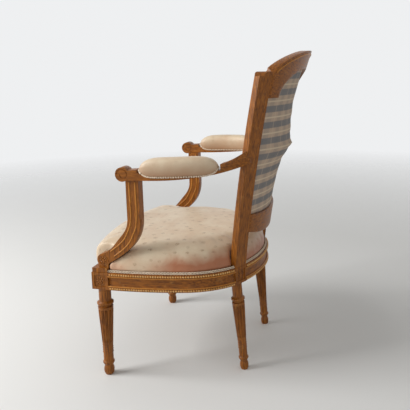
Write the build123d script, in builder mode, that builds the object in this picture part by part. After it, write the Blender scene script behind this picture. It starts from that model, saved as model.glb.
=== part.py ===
"""Louis XVI open armchair: a carved beech frame with stuffed seat, back and arm pads.

Millimetres. +Z is up, the sitter faces -Y, and the sitter's left hand is on the +X side.
The origin is on the floor, at the middle of the chair's box.
"""

import math
import os

from build123d import *

# Seat plan
front_leg_x = 258.0  # middle of a front leg, each side of the middle line
front_leg_y = -245.0
front_die = 50.0  # square block at the head of a front leg
front_bow = 51.0  # how far the front rail bows ahead of the front blocks
side_bend_x = 262.0  # outermost bend of the side rail
side_bend_y = -1.0
side_bulge = 6.5  # swell of the side rail between front block and bend
rear_die_x = 161.0  # middle of a rear block's outer face
rear_die_width = 46.0
rear_die_depth = 38.0
rear_foot_drop = 20.6  # how far a rear foot stands behind its block

# Seat rails
rail_top = 322.0
rail_height = 50.0
rail_thickness = 28.0
rail_lip = 9.0  # flat fillet above and below the cove, which carries the beads
rail_lip_step = 2.0
rail_cove = 6.0
rosette_panel = 34.0
rosette_depth = 2.5

# Turned legs
leg_neck_radius = 17.5
leg_collar_radius = 23.5
leg_shaft_top_radius = 22.0
leg_shaft_foot_radius = 15.5
leg_ankle_radius = 14.4
leg_toe_radius = 15.0
leg_sole_radius = 10.5
rear_leg_slimness = 0.86  # rear legs are turned slimmer than the front ones
leg_head_length = 59.0  # from the top of the shaft up to the block
leg_collar_gap = 11.0  # from the top of the shaft to the middle of the collar
leg_shaft_foot_z = 97.0
leg_ankle_z = 67.0
leg_foot_ring_z = 39.0
leg_ring_half = 5.5
leg_ring_swell = 2.4
leg_collar_half = 7.0
leg_fine_rings = 4
flute_count = 12
flute_radius = 3.3
flute_margin = 8.0  # plain wood left above and below the flutes

# Back
back_height = 938.0
back_base_y = 178.0  # rear face at the middle, at the seat
back_top_y = 321.0  # rear face at the middle, at the top
back_base_slope = 0.12
back_curve_radius = 350.0  # the back is hollow, to take the sitter's shoulders
back_thickness = 26.0
stile_base_offset = 20.0  # from the middle of a rear block to the outer edge of its stile
back_flare = 45.0  # how much farther out the stiles are at the ears than at the seat
back_flare_curve = 0.5  # share of the flare that grows with the square of the height
ear_step = 55.0  # foot of the ears above the shoulders
ear_rise = 17.0
ear_lobe = 26.0  # width of the round lobe at the inner side of an ear
ear_dip = 4.0
ear_tip = 8.0
stile_width = 46.0
stile_axis = 0.44  # share of its width, from the outer edge, at which a stile follows the hollow
stile_bead = 9.0  # quarter round along the front outer corner of a stile
crest_run_on = 1.5  # how far the crest's curve would run on past the foot of an ear
crest_depth = 51.0
shoulder_x = 141.0
shoulder_step = 11.0  # upright edge between a shoulder and the arch
shoulder_arch_rise = 68.0
low_rail_top = 478.0  # at the stiles
low_rail_top_sag = 12.0
low_rail_height = 41.0
low_rail_sag = 37.0

# Arms
arm_scroll_y = -162.0
arm_scroll_z = 607.0
arm_scroll_radius = 20.0
arm_splay = 6.0  # how far the arm's straight front part stands outside its front leg
arm_width = 32.0
arm_thickness = 20.0
arm_neck_lift = 4.0  # underside of the arm above the lowest point of its scroll
arm_neck_share = 0.8  # of the scroll's radius, behind its middle
arm_neck_rise = 0.6  # of the scroll's radius, above its middle
arm_middle_share = 0.12  # share of the rise that the underside has reached under the pad
arm_heel_share = 0.85  # step behind the pad, as a share of the arm's thickness
arm_toe_run = 4.0  # the arm swells ahead of the pad by this run and rise
arm_toe_rise = 9.0
arm_straight_end_y = -60.0
arm_rise = 42.0  # how far the underside climbs from the scroll to the stile
arm_end_height = 37.0
arm_end_reach = 18.0  # how far the arm's outline runs on into the stile before it is scribed
scroll_groove = 2.2
scroll_groove_depth = 1.6
scroll_share = 0.74  # outermost turn of the volute, of the scroll's radius
scroll_shrink = 0.3

# Arm supports
support_width = 28.0
support_depth = 38.0
support_top_y = -137.0
support_bend_z = 480.0
support_roll_radius = 19.0
support_roll_rise = 34.0  # middle of the roll above the rails
support_roll_set = 3.0  # the roll stands back from the block's rear edge by its radius less this
support_front_knee = (0.38, 0.42)  # shares of the way from shaft to roll, and from roll to bend
support_rear_knee = (0.22, 0.40)
support_rear_drop = 13.0
support_plinth = 13.0

# Upholstery
pad_front_y = -117.0
pad_back_y = 107.0
pad_front_rise = 21.0  # arm's thickness under the front of the pad
pad_climb = 7.0  # how far the arm climbs under the pad
pad_width = 44.0
pad_height = 43.0
pad_undercut = 0.14  # foot of the pad drawn in, as a share of its width
pad_belly = 0.42  # height of its widest place, as a share of its height
pad_shoulder = (0.72, 0.84)  # where its side turns into its top, as shares of half width and height
pad_gimp_width = 7.0
pad_front_gap = 6.0  # bare arm left ahead of the pad's stuffing
pad_back_gap = 13.0
seat_crown = 78.0  # rise of the seat above the rails
seat_quarter_swell = 0.095  # swell of the seat's rear quarters, as a share of their chord
cover_thickness = 1.6
gimp_width = 9.0
gimp_thickness = 2.4
gimp_inset = 2.6  # wood left bare outside the seat's gimp
web_width = 50.0
web_thickness = 2.0
web_pitch = 67.0
web_first_step = 53.0  # middle of the foremost strap behind the front legs
web_inset = 16.0
burlap_thickness = 1.5
burlap_inset = 12.0
back_stuffing_depth = 34.0
back_edge_depth = 9.0
back_overlap = 10.0  # how far the stuffed back lies over its frame
back_face_ease = 2.0  # the stiles' flat faces stand this far ahead of the hollow curve at most
outside_back_depth = 8.0  # how deep the cloth's edge sits inside the opening
back_web_rise = 82.0  # middle of the lowest strap above the lower rail
back_web_pitch = 100.0
back_web_x = 47.0  # middle of an upright strap

# Joints
tenon_thickness = 10.0
tenon_height = 32.0
tenon_length = 18.0
tenon_root = 3.0  # how far a back rail's tenon is rooted inside its rail
small_tenon_height = 20.0
peg_diameter = 6.0
joint_clearance = 0.2
rail_run_on = 14.0  # how far a rail runs on into its block before it is cut off square
tenon_end_gap = 1.0
soft_gap = 0.4  # air between a stuffed piece and its neighbour
block_reach = 62.0
block_height = 36.0

rail_bottom = rail_top - rail_height
front_apex_y = front_leg_y - front_die / 2 - front_bow
die_inner_x = front_leg_x - front_die / 2
die_outer_x = front_leg_x + front_die / 2
die_back_y = front_leg_y + front_die / 2
leg_shaft_top_z = rail_bottom - leg_head_length
leg_collar_z = leg_shaft_top_z + leg_collar_gap
arch_spring_z = back_height - crest_depth - shoulder_arch_rise
shoulder_z = arch_spring_z - shoulder_step
ear_z = shoulder_z + ear_step
back_base_half_width = rear_die_x + stile_base_offset
low_rail_bottom = low_rail_top - low_rail_height
arm_x = front_leg_x + arm_splay
arm_bottom_z = arm_scroll_z - arm_scroll_radius + arm_neck_lift
support_roll_z = rail_top + support_roll_rise
pad_front_z = arm_bottom_z + pad_front_rise
pad_back_z = pad_front_z + pad_climb
web_first_y = front_leg_y + web_first_step
back_web_height = low_rail_top + back_web_rise


def back_face_y(z):
    """Rear face of the back on the middle line, which leans back in a soft curve."""
    rise = z - rail_top
    reach = back_height - rail_top
    bend = (back_top_y - back_base_y - back_base_slope * reach) / reach**2
    return back_base_y + back_base_slope * rise + bend * rise**2


def back_point(x, z, depth=0.0):
    """Point in plan at a depth inside the hollow back's rear face."""
    radius = back_curve_radius - depth
    centre_y = back_face_y(z) - back_curve_radius
    angle = math.asin(x / back_curve_radius)
    return (radius * math.sin(angle), centre_y + radius * math.cos(angle))


def back_half_width(z):
    """Outer edge of the stiles, which flare towards the top."""
    share = (z - rail_top) / (ear_z - rail_top)
    curve = (1 - back_flare_curve) * share + back_flare_curve * share**2
    return back_base_half_width + back_flare * curve


def stile_turn(z):
    """Turn of a stile about the upright, so that it follows the hollow of the back."""
    return math.asin((back_half_width(z) - stile_axis * stile_width) / back_curve_radius)


def stile_inner_x(z):
    return back_half_width(z) - stile_width * math.cos(stile_turn(z))


rear_turn = math.asin(rear_die_x / back_curve_radius)
rear_out = Vector(math.sin(rear_turn), math.cos(rear_turn), 0)
rear_side = Vector(math.cos(rear_turn), -math.sin(rear_turn), 0)
rear_face_middle = Vector(*back_point(rear_die_x, rail_top), 0)
rear_die_middle = rear_face_middle - rear_out * (rear_die_depth / 2)
rear_outer_corner = rear_face_middle + rear_side * (rear_die_width / 2)


def rail_section(plane):
    """Moulded rail section: two bead fillets with a cove between; x is outward and y is up."""
    with BuildSketch(plane) as section:
        with BuildLine():
            Polyline(
                (-rail_lip_step, rail_lip),
                (0, rail_lip),
                (0, 0),
                (-rail_thickness, 0),
                (-rail_thickness, rail_height),
                (0, rail_height),
                (0, rail_height - rail_lip),
                (-rail_lip_step, rail_height - rail_lip),
            )
            ThreePointArc(
                (-rail_lip_step, rail_height - rail_lip),
                (-rail_cove, rail_height / 2),
                (-rail_lip_step, rail_lip),
            )
        make_face()
    return section.sketch


def rail_along(path):
    """Rail swept along its outer edge, with the outside on the right of the path."""
    ahead = path % 0
    plane = Plane(origin=path @ 0, x_dir=ahead.cross(Vector(0, 0, 1)), z_dir=-ahead)
    section = rail_section(plane)
    with BuildPart() as rail:
        add(section)
        sweep(path=path)
    return rail.part


def tenon(plane, height, length, slack=0.0, root=0.0):
    """Tenon that runs along the plane's z, long side along its y; slack makes its mortise."""
    with BuildPart() as tongue:
        with BuildSketch(plane.offset(-root)):
            Rectangle(tenon_thickness + 2 * slack, height + 2 * slack)
        extrude(amount=root + length + (tenon_end_gap if slack else 0))
    return tongue.part


def mirrored(part):
    return mirror(part, about=Plane.YZ, mode=Mode.PRIVATE)


# Joint planes: the origin is on the shoulder, z runs into the mortised piece
rail_middle_z = rail_top - rail_height / 2
rear_rail_middle = rear_face_middle - rear_out * (rail_thickness / 2) + Vector(0, 0, rail_middle_z)
side_front_joint = Plane(
    origin=(die_outer_x - rail_thickness / 2, die_back_y, rail_middle_z),
    x_dir=(1, 0, 0),
    z_dir=(0, -1, 0),
)
front_side_joint = Plane(
    origin=(die_inner_x, front_leg_y - front_die / 2 + rail_thickness / 2, rail_middle_z),
    x_dir=(0, 1, 0),
    z_dir=(1, 0, 0),
)
side_rear_joint = Plane(
    origin=rear_rail_middle + rear_side * (rear_die_width / 2),
    x_dir=rear_out,
    z_dir=-rear_side,
)
rear_side_joint = Plane(
    origin=rear_rail_middle - rear_side * (rear_die_width / 2),
    x_dir=-rear_out,
    z_dir=rear_side,
)


def bulged(start, end, bulge):
    """Middle of an arc that swells to the right of its chord."""
    chord = end - start
    right = Vector(chord.Y, -chord.X, 0).normalized()
    return (start + end) * 0.5 + right * bulge


def arc_through(apex_y, half_chord, rise, x):
    """Height in plan at x of the arc with its apex at apex_y that falls by rise at half_chord."""
    radius = (half_chord**2 + rise**2) / (2 * abs(rise))
    fall = radius - math.sqrt(radius**2 - x**2)
    return apex_y + math.copysign(fall, rise)


# Turned and fluted legs
def shaft_radius(z, slim):
    share = (z - leg_shaft_foot_z) / (leg_shaft_top_z - leg_shaft_foot_z)
    return slim * (leg_shaft_foot_radius + share * (leg_shaft_top_radius - leg_shaft_foot_radius))


def fluted_section(z, slim):
    """Section of the shaft, with hollow flutes all round."""
    radius = shaft_radius(z, slim)
    with BuildSketch(Plane.XY.offset(z)) as section:
        Circle(radius)
        with PolarLocations(radius, flute_count):
            Circle(flute_radius * radius / leg_shaft_top_radius, mode=Mode.SUBTRACT)
    return section.sketch


def turned_leg(slim, length):
    """Leg turned about Z, sole at z = 0, with a fluted shaft."""
    sole = leg_sole_radius * slim
    toe = leg_toe_radius * slim
    ankle = leg_ankle_radius * slim
    waist = ankle - leg_ring_swell
    foot = leg_shaft_foot_radius * slim
    top = leg_shaft_top_radius * slim
    collar = leg_collar_radius * slim
    neck = leg_neck_radius * slim
    toe_top = leg_foot_ring_z - 2 * leg_ring_half
    ring_step = (leg_shaft_foot_z - leg_ankle_z) / leg_fine_rings
    flute_low = leg_shaft_foot_z + flute_margin
    flute_high = leg_shaft_top_z - flute_margin
    flute_ends = [fluted_section(z, slim) for z in (flute_low, flute_high)]
    with BuildPart() as fluted_shaft:
        for end in flute_ends:
            add(end)
        loft(ruled=True)
    with BuildPart() as leg:
        with BuildSketch(Plane.XZ):
            with BuildLine():
                Line((0, 0), (sole, 0))
                ThreePointArc((sole, 0), (toe, toe_top * 0.6), (waist, toe_top))
                Polyline(
                    (waist, toe_top),
                    (ankle, leg_foot_ring_z - leg_ring_half),
                    (ankle + leg_ring_swell, leg_foot_ring_z - leg_ring_half / 3),
                    (ankle + leg_ring_swell, leg_foot_ring_z + leg_ring_half / 3),
                    (ankle, leg_foot_ring_z + leg_ring_half),
                    (ankle, leg_ankle_z),
                )
                for ring in range(leg_fine_rings):
                    low = leg_ankle_z + ring * ring_step
                    Polyline(
                        (ankle, low),
                        (ankle + leg_ring_swell / 2, low + ring_step / 2),
                        (ankle, low + ring_step),
                    )
                Polyline(
                    (ankle, leg_shaft_foot_z),
                    (foot, leg_shaft_foot_z),
                    (shaft_radius(flute_low, slim), flute_low),
                    (0, flute_low),
                    (0, 0),
                )
            make_face()
            with BuildLine():
                Polyline(
                    (0, flute_high),
                    (shaft_radius(flute_high, slim), flute_high),
                    (top, leg_shaft_top_z),
                    (neck, leg_shaft_top_z),
                    (neck, leg_collar_z - leg_collar_half),
                    (collar, leg_collar_z - leg_collar_half / 3),
                    (collar, leg_collar_z + leg_collar_half / 3),
                    (neck, leg_collar_z + leg_collar_half),
                    (neck, length - leg_collar_half),
                    (neck + leg_ring_swell, length),
                    (0, length),
                    (0, flute_high),
                )
            make_face()
        revolve(axis=Axis.Z)
        add(fluted_shaft.part)
    return leg.part


def rosette_sinking(plane):
    """Square sinking on a block's face, which holds the carved rosette."""
    with BuildPart() as sinking:
        with BuildSketch(plane):
            Rectangle(rosette_panel, rosette_panel)
        extrude(amount=-rosette_depth)
    return sinking.part


def peg(plane, length, slack=0.0):
    """Peg whittled to eight sides; slack makes its round hole."""
    with BuildPart() as pin:
        with BuildSketch(plane):
            if slack:
                Circle(peg_diameter / 2 + slack)
            else:
                RegularPolygon(peg_diameter / 2, 8)
        extrude(amount=length + slack)
    return pin.part


# Pegs that lock the seat rail tenons; z runs into the block
front_pegs = [
    Plane(
        origin=(die_inner_x, die_back_y - tenon_length / 2, rail_middle_z + peg_diameter),
        z_dir=(1, 0, 0),
    ),
    Plane(
        origin=(die_inner_x + tenon_length / 2, die_back_y, rail_middle_z - peg_diameter),
        z_dir=(0, -1, 0),
    ),
]
rear_inner_middle = rear_die_middle - rear_out * (rear_die_depth / 2) + Vector(0, 0, rail_middle_z)
rear_pegs = [
    Plane(origin=rear_inner_middle + rear_side * side * (rear_die_width - tenon_length) / 2, z_dir=rear_out)
    for side in (1, -1)
]
front_peg_length = front_die - peg_diameter
rear_peg_length = rear_die_depth - peg_diameter
side_tenons = [
    tenon(side_front_joint, tenon_height, tenon_length),
    tenon(side_rear_joint, tenon_height, tenon_length),
]
front_tenon = tenon(front_side_joint, tenon_height, tenon_length)
rear_tenon = tenon(rear_side_joint, tenon_height, tenon_length)
peg_holes = [peg(plane, front_peg_length, joint_clearance) for plane in front_pegs]
peg_holes += [peg(plane, rear_peg_length, joint_clearance) for plane in rear_pegs]
pegs = [peg(plane, front_peg_length) for plane in front_pegs]
pegs += [peg(plane, rear_peg_length) for plane in rear_pegs]

# Front leg: turned leg, square block, mortises for two rails and for the arm support
front_turning = turned_leg(1.0, rail_bottom)
front_mortises = [
    tenon(side_front_joint, tenon_height, tenon_length, joint_clearance),
    tenon(front_side_joint, tenon_height, tenon_length, joint_clearance),
]
support_joint = Plane(origin=(front_leg_x, front_leg_y, rail_top), x_dir=(1, 0, 0), z_dir=(0, 0, -1))
support_mortise = tenon(support_joint, small_tenon_height, tenon_length / 2, joint_clearance)
front_rosettes = [
    rosette_sinking(Plane(origin=(die_outer_x, front_leg_y, rail_middle_z), z_dir=(1, 0, 0))),
    rosette_sinking(
        Plane(origin=(front_leg_x, front_leg_y - front_die / 2, rail_middle_z), z_dir=(0, -1, 0))
    ),
]
with BuildPart() as front_left_leg:
    with Locations((front_leg_x, front_leg_y, rail_bottom)):
        Box(front_die, front_die, rail_height, align=(Align.CENTER, Align.CENTER, Align.MIN))
    for waste in front_rosettes + front_mortises + [support_mortise] + peg_holes[:2]:
        add(waste, mode=Mode.SUBTRACT)
    with Locations((front_leg_x, front_leg_y, 0)):
        add(front_turning)


# Rear post: leg, block and stile in one length of wood
def stile_section(z, outside=0.0, inside=0.0):
    """Plan section of a stile, or of the space around it when it is grown."""
    turn = stile_turn(z)
    x, y = back_point(back_half_width(z), z)
    plane = Plane(origin=(x, y, z), x_dir=(math.cos(turn), -math.sin(turn), 0), z_dir=(0, 0, 1))
    front = -back_thickness - outside
    round_off = stile_bead + outside
    round_middle = round_off * (1 - math.sqrt(0.5))
    with BuildSketch(plane) as section:
        with BuildLine():
            Polyline(
                (outside - round_off, front),
                (-stile_width - inside, front),
                (-stile_width - inside, outside),
                (outside, outside),
                (outside, front + round_off),
            )
            ThreePointArc(
                (outside, front + round_off),
                (outside - round_middle, front + round_middle),
                (outside - round_off, front),
            )
        make_face()
    return section.sketch


def stile_body(outside=0.0, inside=0.0):
    top = ear_z + 2 * ear_rise
    heights = [rail_top + (top - rail_top) * step / 5 for step in range(6)]
    sections = [stile_section(z, outside, inside) for z in heights]
    with BuildPart() as body:
        for section in sections:
            add(section)
        loft()
    return body.part


def stile_joint(z, reach):
    """Joint plane on a stile's inner side; z runs into the stile and y is up."""
    turn = stile_turn(z)
    side = Vector(math.cos(turn), -math.sin(turn), 0)
    out = Vector(math.sin(turn), math.cos(turn), 0)
    corner = Vector(*back_point(back_half_width(z), z), z)
    origin = corner - side * (stile_width + reach) - out * (back_thickness / 2)
    return Plane(origin=origin, x_dir=out, z_dir=side)


stile = stile_body()
ear_inner_x = stile_inner_x(ear_z)
ear_outer_x = back_half_width(ear_z)
with BuildPart() as ear_waste:
    with BuildSketch(Plane.XZ):
        with BuildLine():
            lobe = ThreePointArc(
                (ear_inner_x, ear_z),
                (ear_inner_x + ear_lobe / 2, ear_z + ear_rise),
                (ear_inner_x + ear_lobe, ear_z + ear_dip),
            )
            Polyline(
                lobe @ 1,
                (ear_outer_x + stile_bead, ear_z + ear_tip),
                (ear_outer_x + stile_width, ear_z + ear_tip),
                (ear_outer_x + stile_width, back_height),
                (ear_inner_x - stile_width, back_height),
                (ear_inner_x - stile_width, ear_z),
                lobe @ 0,
            )
        make_face()
    extrude(amount=back_height, both=True)

crest_joint_z = (shoulder_z + ear_z) / 2
low_joint_z = (low_rail_top + low_rail_bottom) / 2
crest_joint = stile_joint(crest_joint_z, 0)
low_joint = stile_joint(low_joint_z, 0)
arm_joint_z = arm_bottom_z + arm_rise + arm_end_height / 2
arm_turn = stile_turn(arm_joint_z)
arm_out = Vector(math.sin(arm_turn), math.cos(arm_turn), 0)
arm_side = Vector(math.cos(arm_turn), -math.sin(arm_turn), 0)
arm_corner = Vector(*back_point(back_half_width(arm_joint_z), arm_joint_z), arm_joint_z)
arm_joint = Plane(
    origin=arm_corner - arm_out * ((back_thickness - stile_bead) / 2),
    x_dir=arm_out,
    z_dir=-arm_side,
)
arm_mortises = [tenon(arm_joint, small_tenon_height, tenon_length, joint_clearance)]
rear_foot = Vector(rear_die_middle.X, rear_die_middle.Y + rear_foot_drop, 0)
rear_head = Vector(rear_die_middle.X, rear_die_middle.Y, rail_bottom)
rear_axis = (rear_head - rear_foot).normalized()
rear_turning = turned_leg(rear_leg_slimness, (rear_head - rear_foot).length + rail_lip_step)
rear_leg_place = Plane(origin=rear_foot - rear_axis * rail_lip_step, x_dir=(1, 0, 0), z_dir=rear_axis)
rear_die_place = Plane(
    origin=rear_die_middle + Vector(0, 0, rail_bottom),
    x_dir=rear_side,
    z_dir=(0, 0, 1),
)
rear_rosette = rosette_sinking(
    Plane(origin=rear_face_middle + Vector(0, 0, rail_middle_z), x_dir=rear_side, z_dir=rear_out)
)
rear_mortises = [
    tenon(side_rear_joint, tenon_height, tenon_length, joint_clearance),
    tenon(rear_side_joint, tenon_height, tenon_length, joint_clearance),
    tenon(crest_joint, small_tenon_height, tenon_length, joint_clearance, tenon_root),
    tenon(low_joint, small_tenon_height, tenon_length, joint_clearance, tenon_root),
]
with BuildPart() as rear_leg:
    with Locations(rear_leg_place):
        add(rear_turning)
    split(bisect_by=Plane.XY, keep=Keep.TOP)
with BuildPart() as rear_left_post:
    with Locations(rear_die_place):
        Box(
            rear_die_width,
            rear_die_depth,
            rail_height,
            align=(Align.CENTER, Align.CENTER, Align.MIN),
        )
    add(stile)
    add(ear_waste.part, mode=Mode.SUBTRACT)
    add(rear_rosette, mode=Mode.SUBTRACT)
    for waste in rear_mortises + arm_mortises + peg_holes[2:]:
        add(waste, mode=Mode.SUBTRACT)
    add(rear_leg.part)

# Seat rails, each swept along its outer edge and cut off square at the blocks
side_start = Vector(die_outer_x, die_back_y - rail_run_on, rail_bottom)
side_bend = Vector(side_bend_x, side_bend_y, rail_bottom)
side_end = rear_outer_corner + Vector(0, 0, rail_bottom)
with BuildLine() as side_edge:
    side_front = ThreePointArc(side_start, bulged(side_start, side_bend, side_bulge), side_bend)
    side_back = TangentArc(side_bend, side_end, tangent=side_front % 1)
    Line(side_end, side_end + (side_back % 1) * rail_run_on)
side_sweep = rail_along(side_edge.wire())
with BuildPart() as left_seat_rail:
    add(side_sweep)
    split(bisect_by=Plane(origin=(0, die_back_y, 0), z_dir=(0, 1, 0)), keep=Keep.TOP)
    split(bisect_by=Plane(origin=rear_outer_corner, z_dir=rear_side), keep=Keep.TOP)
    for tongue in side_tenons:
        add(tongue)
    for waste in [peg_holes[0], peg_holes[2]]:
        add(waste, mode=Mode.SUBTRACT)

front_end_x = die_inner_x + rail_run_on
front_end_y = arc_through(front_apex_y, die_inner_x, front_bow, front_end_x)
with BuildLine() as front_edge:
    ThreePointArc(
        (-front_end_x, front_end_y, rail_bottom),
        (0, front_apex_y, rail_bottom),
        (front_end_x, front_end_y, rail_bottom),
    )
front_sweep = rail_along(front_edge.wire())
with BuildPart() as front_seat_rail:
    add(front_sweep)
    split(bisect_by=Plane(origin=(die_inner_x, 0, 0), z_dir=(-1, 0, 0)), keep=Keep.TOP)
    split(bisect_by=Plane(origin=(-die_inner_x, 0, 0), z_dir=(1, 0, 0)), keep=Keep.TOP)
    add(front_tenon)
    add(mirrored(front_tenon))
    add(peg_holes[1], mode=Mode.SUBTRACT)
    add(mirrored(peg_holes[1]), mode=Mode.SUBTRACT)

rear_end_x = rear_die_x
with BuildLine() as rear_edge:
    ThreePointArc(
        (*back_point(rear_end_x, rail_top), rail_bottom),
        (*back_point(0, rail_top), rail_bottom),
        (*back_point(-rear_end_x, rail_top), rail_bottom),
    )
rear_sweep = rail_along(rear_edge.wire())
rear_inner_corner = rear_face_middle - rear_side * (rear_die_width / 2)
rear_cut = Plane(origin=rear_inner_corner, z_dir=-rear_side)
rear_cut_mirror = Plane(
    origin=(-rear_inner_corner.X, rear_inner_corner.Y, 0),
    z_dir=(rear_side.X, -rear_side.Y, 0),
)
with BuildPart() as rear_seat_rail:
    add(rear_sweep)
    split(bisect_by=rear_cut, keep=Keep.TOP)
    split(bisect_by=rear_cut_mirror, keep=Keep.TOP)
    add(rear_tenon)
    add(mirrored(rear_tenon))
    add(peg_holes[3], mode=Mode.SUBTRACT)
    add(mirrored(peg_holes[3]), mode=Mode.SUBTRACT)


# Back frame: boards cut to their front outline from the hollow back
def level(z):
    return 0.0


def whole_back(z):
    return back_half_width(ear_z) + stile_bead


def back_band(low, high, near, far, near_swell=level, far_swell=level, span=whole_back, steps=3):
    """Curved board between two depths from the back's rear face; a side can swell in the middle."""
    with BuildPart() as band:
        for step in range(steps + 1):
            z = low + (high - low) * step / steps
            half = span(z)
            near_middle = back_point(0, z, near + near_swell(z))
            far_middle = back_point(0, z, far + far_swell(z))
            with BuildSketch(Plane.XY.offset(z)):
                with BuildLine():
                    rear = ThreePointArc(back_point(-half, z, near), near_middle, back_point(half, z, near))
                    front = ThreePointArc(back_point(half, z, far), far_middle, back_point(-half, z, far))
                    Line(rear @ 1, front @ 0)
                    Line(front @ 1, rear @ 0)
                make_face()
        loft()
    return band.part


stile_room = stile_body(outside=back_thickness, inside=joint_clearance / 4)
crest_half_span = ear_inner_x + crest_run_on
crest_band = back_band(shoulder_z - stile_bead, back_height + stile_bead, 0, back_thickness)
crest_tenon = tenon(crest_joint, small_tenon_height, tenon_length, root=tenon_root)
with BuildPart() as crest_rail:
    with BuildSketch(Plane.XZ):
        with Locations((0, ear_z)):
            Ellipse(crest_half_span, back_height - ear_z)
        with Locations((0, shoulder_z)):
            Rectangle(
                2 * crest_half_span, ear_step, align=(Align.CENTER, Align.MIN)
            )
            Rectangle(
                3 * crest_half_span, back_height, align=(Align.CENTER, Align.MAX), mode=Mode.SUBTRACT
            )
            Rectangle(
                2 * shoulder_x,
                shoulder_step,
                align=(Align.CENTER, Align.MIN),
                mode=Mode.SUBTRACT,
            )
        with Locations((0, arch_spring_z)):
            Ellipse(shoulder_x, shoulder_arch_rise, mode=Mode.SUBTRACT)
    extrude(amount=back_height, both=True)
    add(crest_band, mode=Mode.INTERSECT)
    add(stile_room, mode=Mode.SUBTRACT)
    add(mirrored(stile_room), mode=Mode.SUBTRACT)
    add(crest_tenon)
    add(mirrored(crest_tenon))

low_band = back_band(low_rail_bottom - 2 * low_rail_sag, low_rail_top + low_rail_sag, 0, back_thickness)
low_tenon = tenon(low_joint, small_tenon_height, tenon_length, root=tenon_root)
low_end_x = back_half_width(low_joint_z)
with BuildPart() as lower_back_rail:
    with BuildSketch(Plane.XZ):
        with BuildLine():
            low_top = ThreePointArc(
                (-low_end_x, low_rail_top), (0, low_rail_top - low_rail_top_sag), (low_end_x, low_rail_top)
            )
            low_foot = ThreePointArc(
                (low_end_x, low_rail_bottom),
                (0, low_rail_bottom - low_rail_sag),
                (-low_end_x, low_rail_bottom),
            )
            Line(low_top @ 1, low_foot @ 0)
            Line(low_foot @ 1, low_top @ 0)
        make_face()
    extrude(amount=back_height, both=True)
    add(low_band, mode=Mode.INTERSECT)
    add(stile_room, mode=Mode.SUBTRACT)
    add(mirrored(stile_room), mode=Mode.SUBTRACT)
    add(low_tenon)
    add(mirrored(low_tenon))

# Arm: sawn to its side outline and to its plan, then scribed to the stile
arm_end_outer = Vector(*back_point(back_half_width(arm_joint_z), arm_joint_z), 0)
arm_end_inner = arm_end_outer - arm_out * back_thickness
arm_end_y = (arm_end_outer.Y + arm_end_inner.Y) / 2
pad_slope = (pad_back_z - pad_front_z) / (pad_back_y - pad_front_y)
neck_y = arm_scroll_y + arm_scroll_radius * arm_neck_share
neck_z = arm_scroll_z + arm_scroll_radius * arm_neck_rise
heel_height = arm_thickness * arm_heel_share
with BuildPart() as arm_plan:
    with BuildSketch(Plane.XY.offset(arm_bottom_z - arm_scroll_radius)):
        with BuildLine():
            front_y = arm_scroll_y - 2 * arm_scroll_radius
            outer = Line((arm_x + arm_width / 2, front_y), (arm_x + arm_width / 2, arm_straight_end_y))
            outer_sweep = TangentArc(outer @ 1, arm_end_outer, tangent=outer % 1)
            inner = Line((arm_x - arm_width / 2, front_y), (arm_x - arm_width / 2, arm_straight_end_y))
            inner_sweep = TangentArc(inner @ 1, arm_end_inner, tangent=inner % 1)
            run_on = arm_side * -arm_end_reach
            Polyline(
                arm_end_outer, arm_end_outer + run_on, arm_end_inner + run_on, arm_end_inner
            )
            Line(outer @ 0, inner @ 0)
        make_face()
    extrude(amount=2 * (arm_rise + arm_end_height))
with BuildPart() as arm_side_view:
    with BuildSketch(Plane.YZ):
        with BuildLine():
            end_y = arm_end_y + arm_end_reach
            under = Spline(
                (neck_y, arm_bottom_z),
                ((pad_front_y + pad_back_y) / 2, arm_bottom_z + arm_rise * arm_middle_share),
                (end_y, arm_bottom_z + arm_rise),
                tangents=[(1, 0), (1, 0.4)],
            )
            tip = Line(under @ 1, (end_y, arm_bottom_z + arm_rise + arm_end_height))
            heel = Line((pad_back_y, pad_back_z), (pad_front_y, pad_front_z))
            Spline(tip @ 1, heel @ 0 + Vector(0, heel_height), tangents=[(-1, -0.4), (-1, -0.2)])
            Line(heel @ 0 + Vector(0, heel_height), heel @ 0)
            Polyline(
                heel @ 1,
                (pad_front_y - arm_toe_run, pad_front_z + arm_toe_rise),
                (neck_y, neck_z),
                under @ 0,
            )
        make_face()
        with Locations((arm_scroll_y, arm_scroll_z)):
            Circle(arm_scroll_radius)
    extrude(amount=back_height, both=True)

arm_tenon = tenon(arm_joint, small_tenon_height, tenon_length)
support_head = Plane(
    origin=((front_leg_x + arm_x) / 2, support_top_y, arm_bottom_z), x_dir=(1, 0, 0), z_dir=(0, 0, 1)
)
support_head_mortise = tenon(support_head, small_tenon_height, tenon_length / 2, joint_clearance)


def scroll_line():
    """Volute of the arm's end: half circles that shrink towards the eye."""
    radius = arm_scroll_radius * scroll_share
    with BuildSketch(Plane.YZ) as line:
        with BuildLine():
            centre_y = arm_scroll_y
            for turn in range(2):
                ends = (centre_y + radius, centre_y - radius)
                start_y, end_y = ends if turn % 2 == 0 else ends[::-1]
                over = radius if turn % 2 == 0 else -radius
                ThreePointArc(
                    (start_y, arm_scroll_z), (centre_y, arm_scroll_z + over), (end_y, arm_scroll_z)
                )
                shrink = radius * scroll_shrink
                centre_y += -shrink if turn % 2 else shrink
                radius -= shrink
        trace(line_width=scroll_groove)
    return line.sketch_local


volute = scroll_line()
with BuildPart() as volute_cuts:
    for x in (arm_x + arm_width / 2 - scroll_groove_depth, arm_x - arm_width / 2):
        with BuildSketch(Plane.YZ.offset(x)):
            add(volute)
    extrude(amount=scroll_groove_depth)
with BuildPart() as left_arm:
    add(arm_plan.part)
    add(arm_side_view.part, mode=Mode.INTERSECT)
    add(stile, mode=Mode.SUBTRACT)
    add(volute_cuts.part, mode=Mode.SUBTRACT)
    add(support_head_mortise, mode=Mode.SUBTRACT)
    add(arm_tenon)

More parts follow.
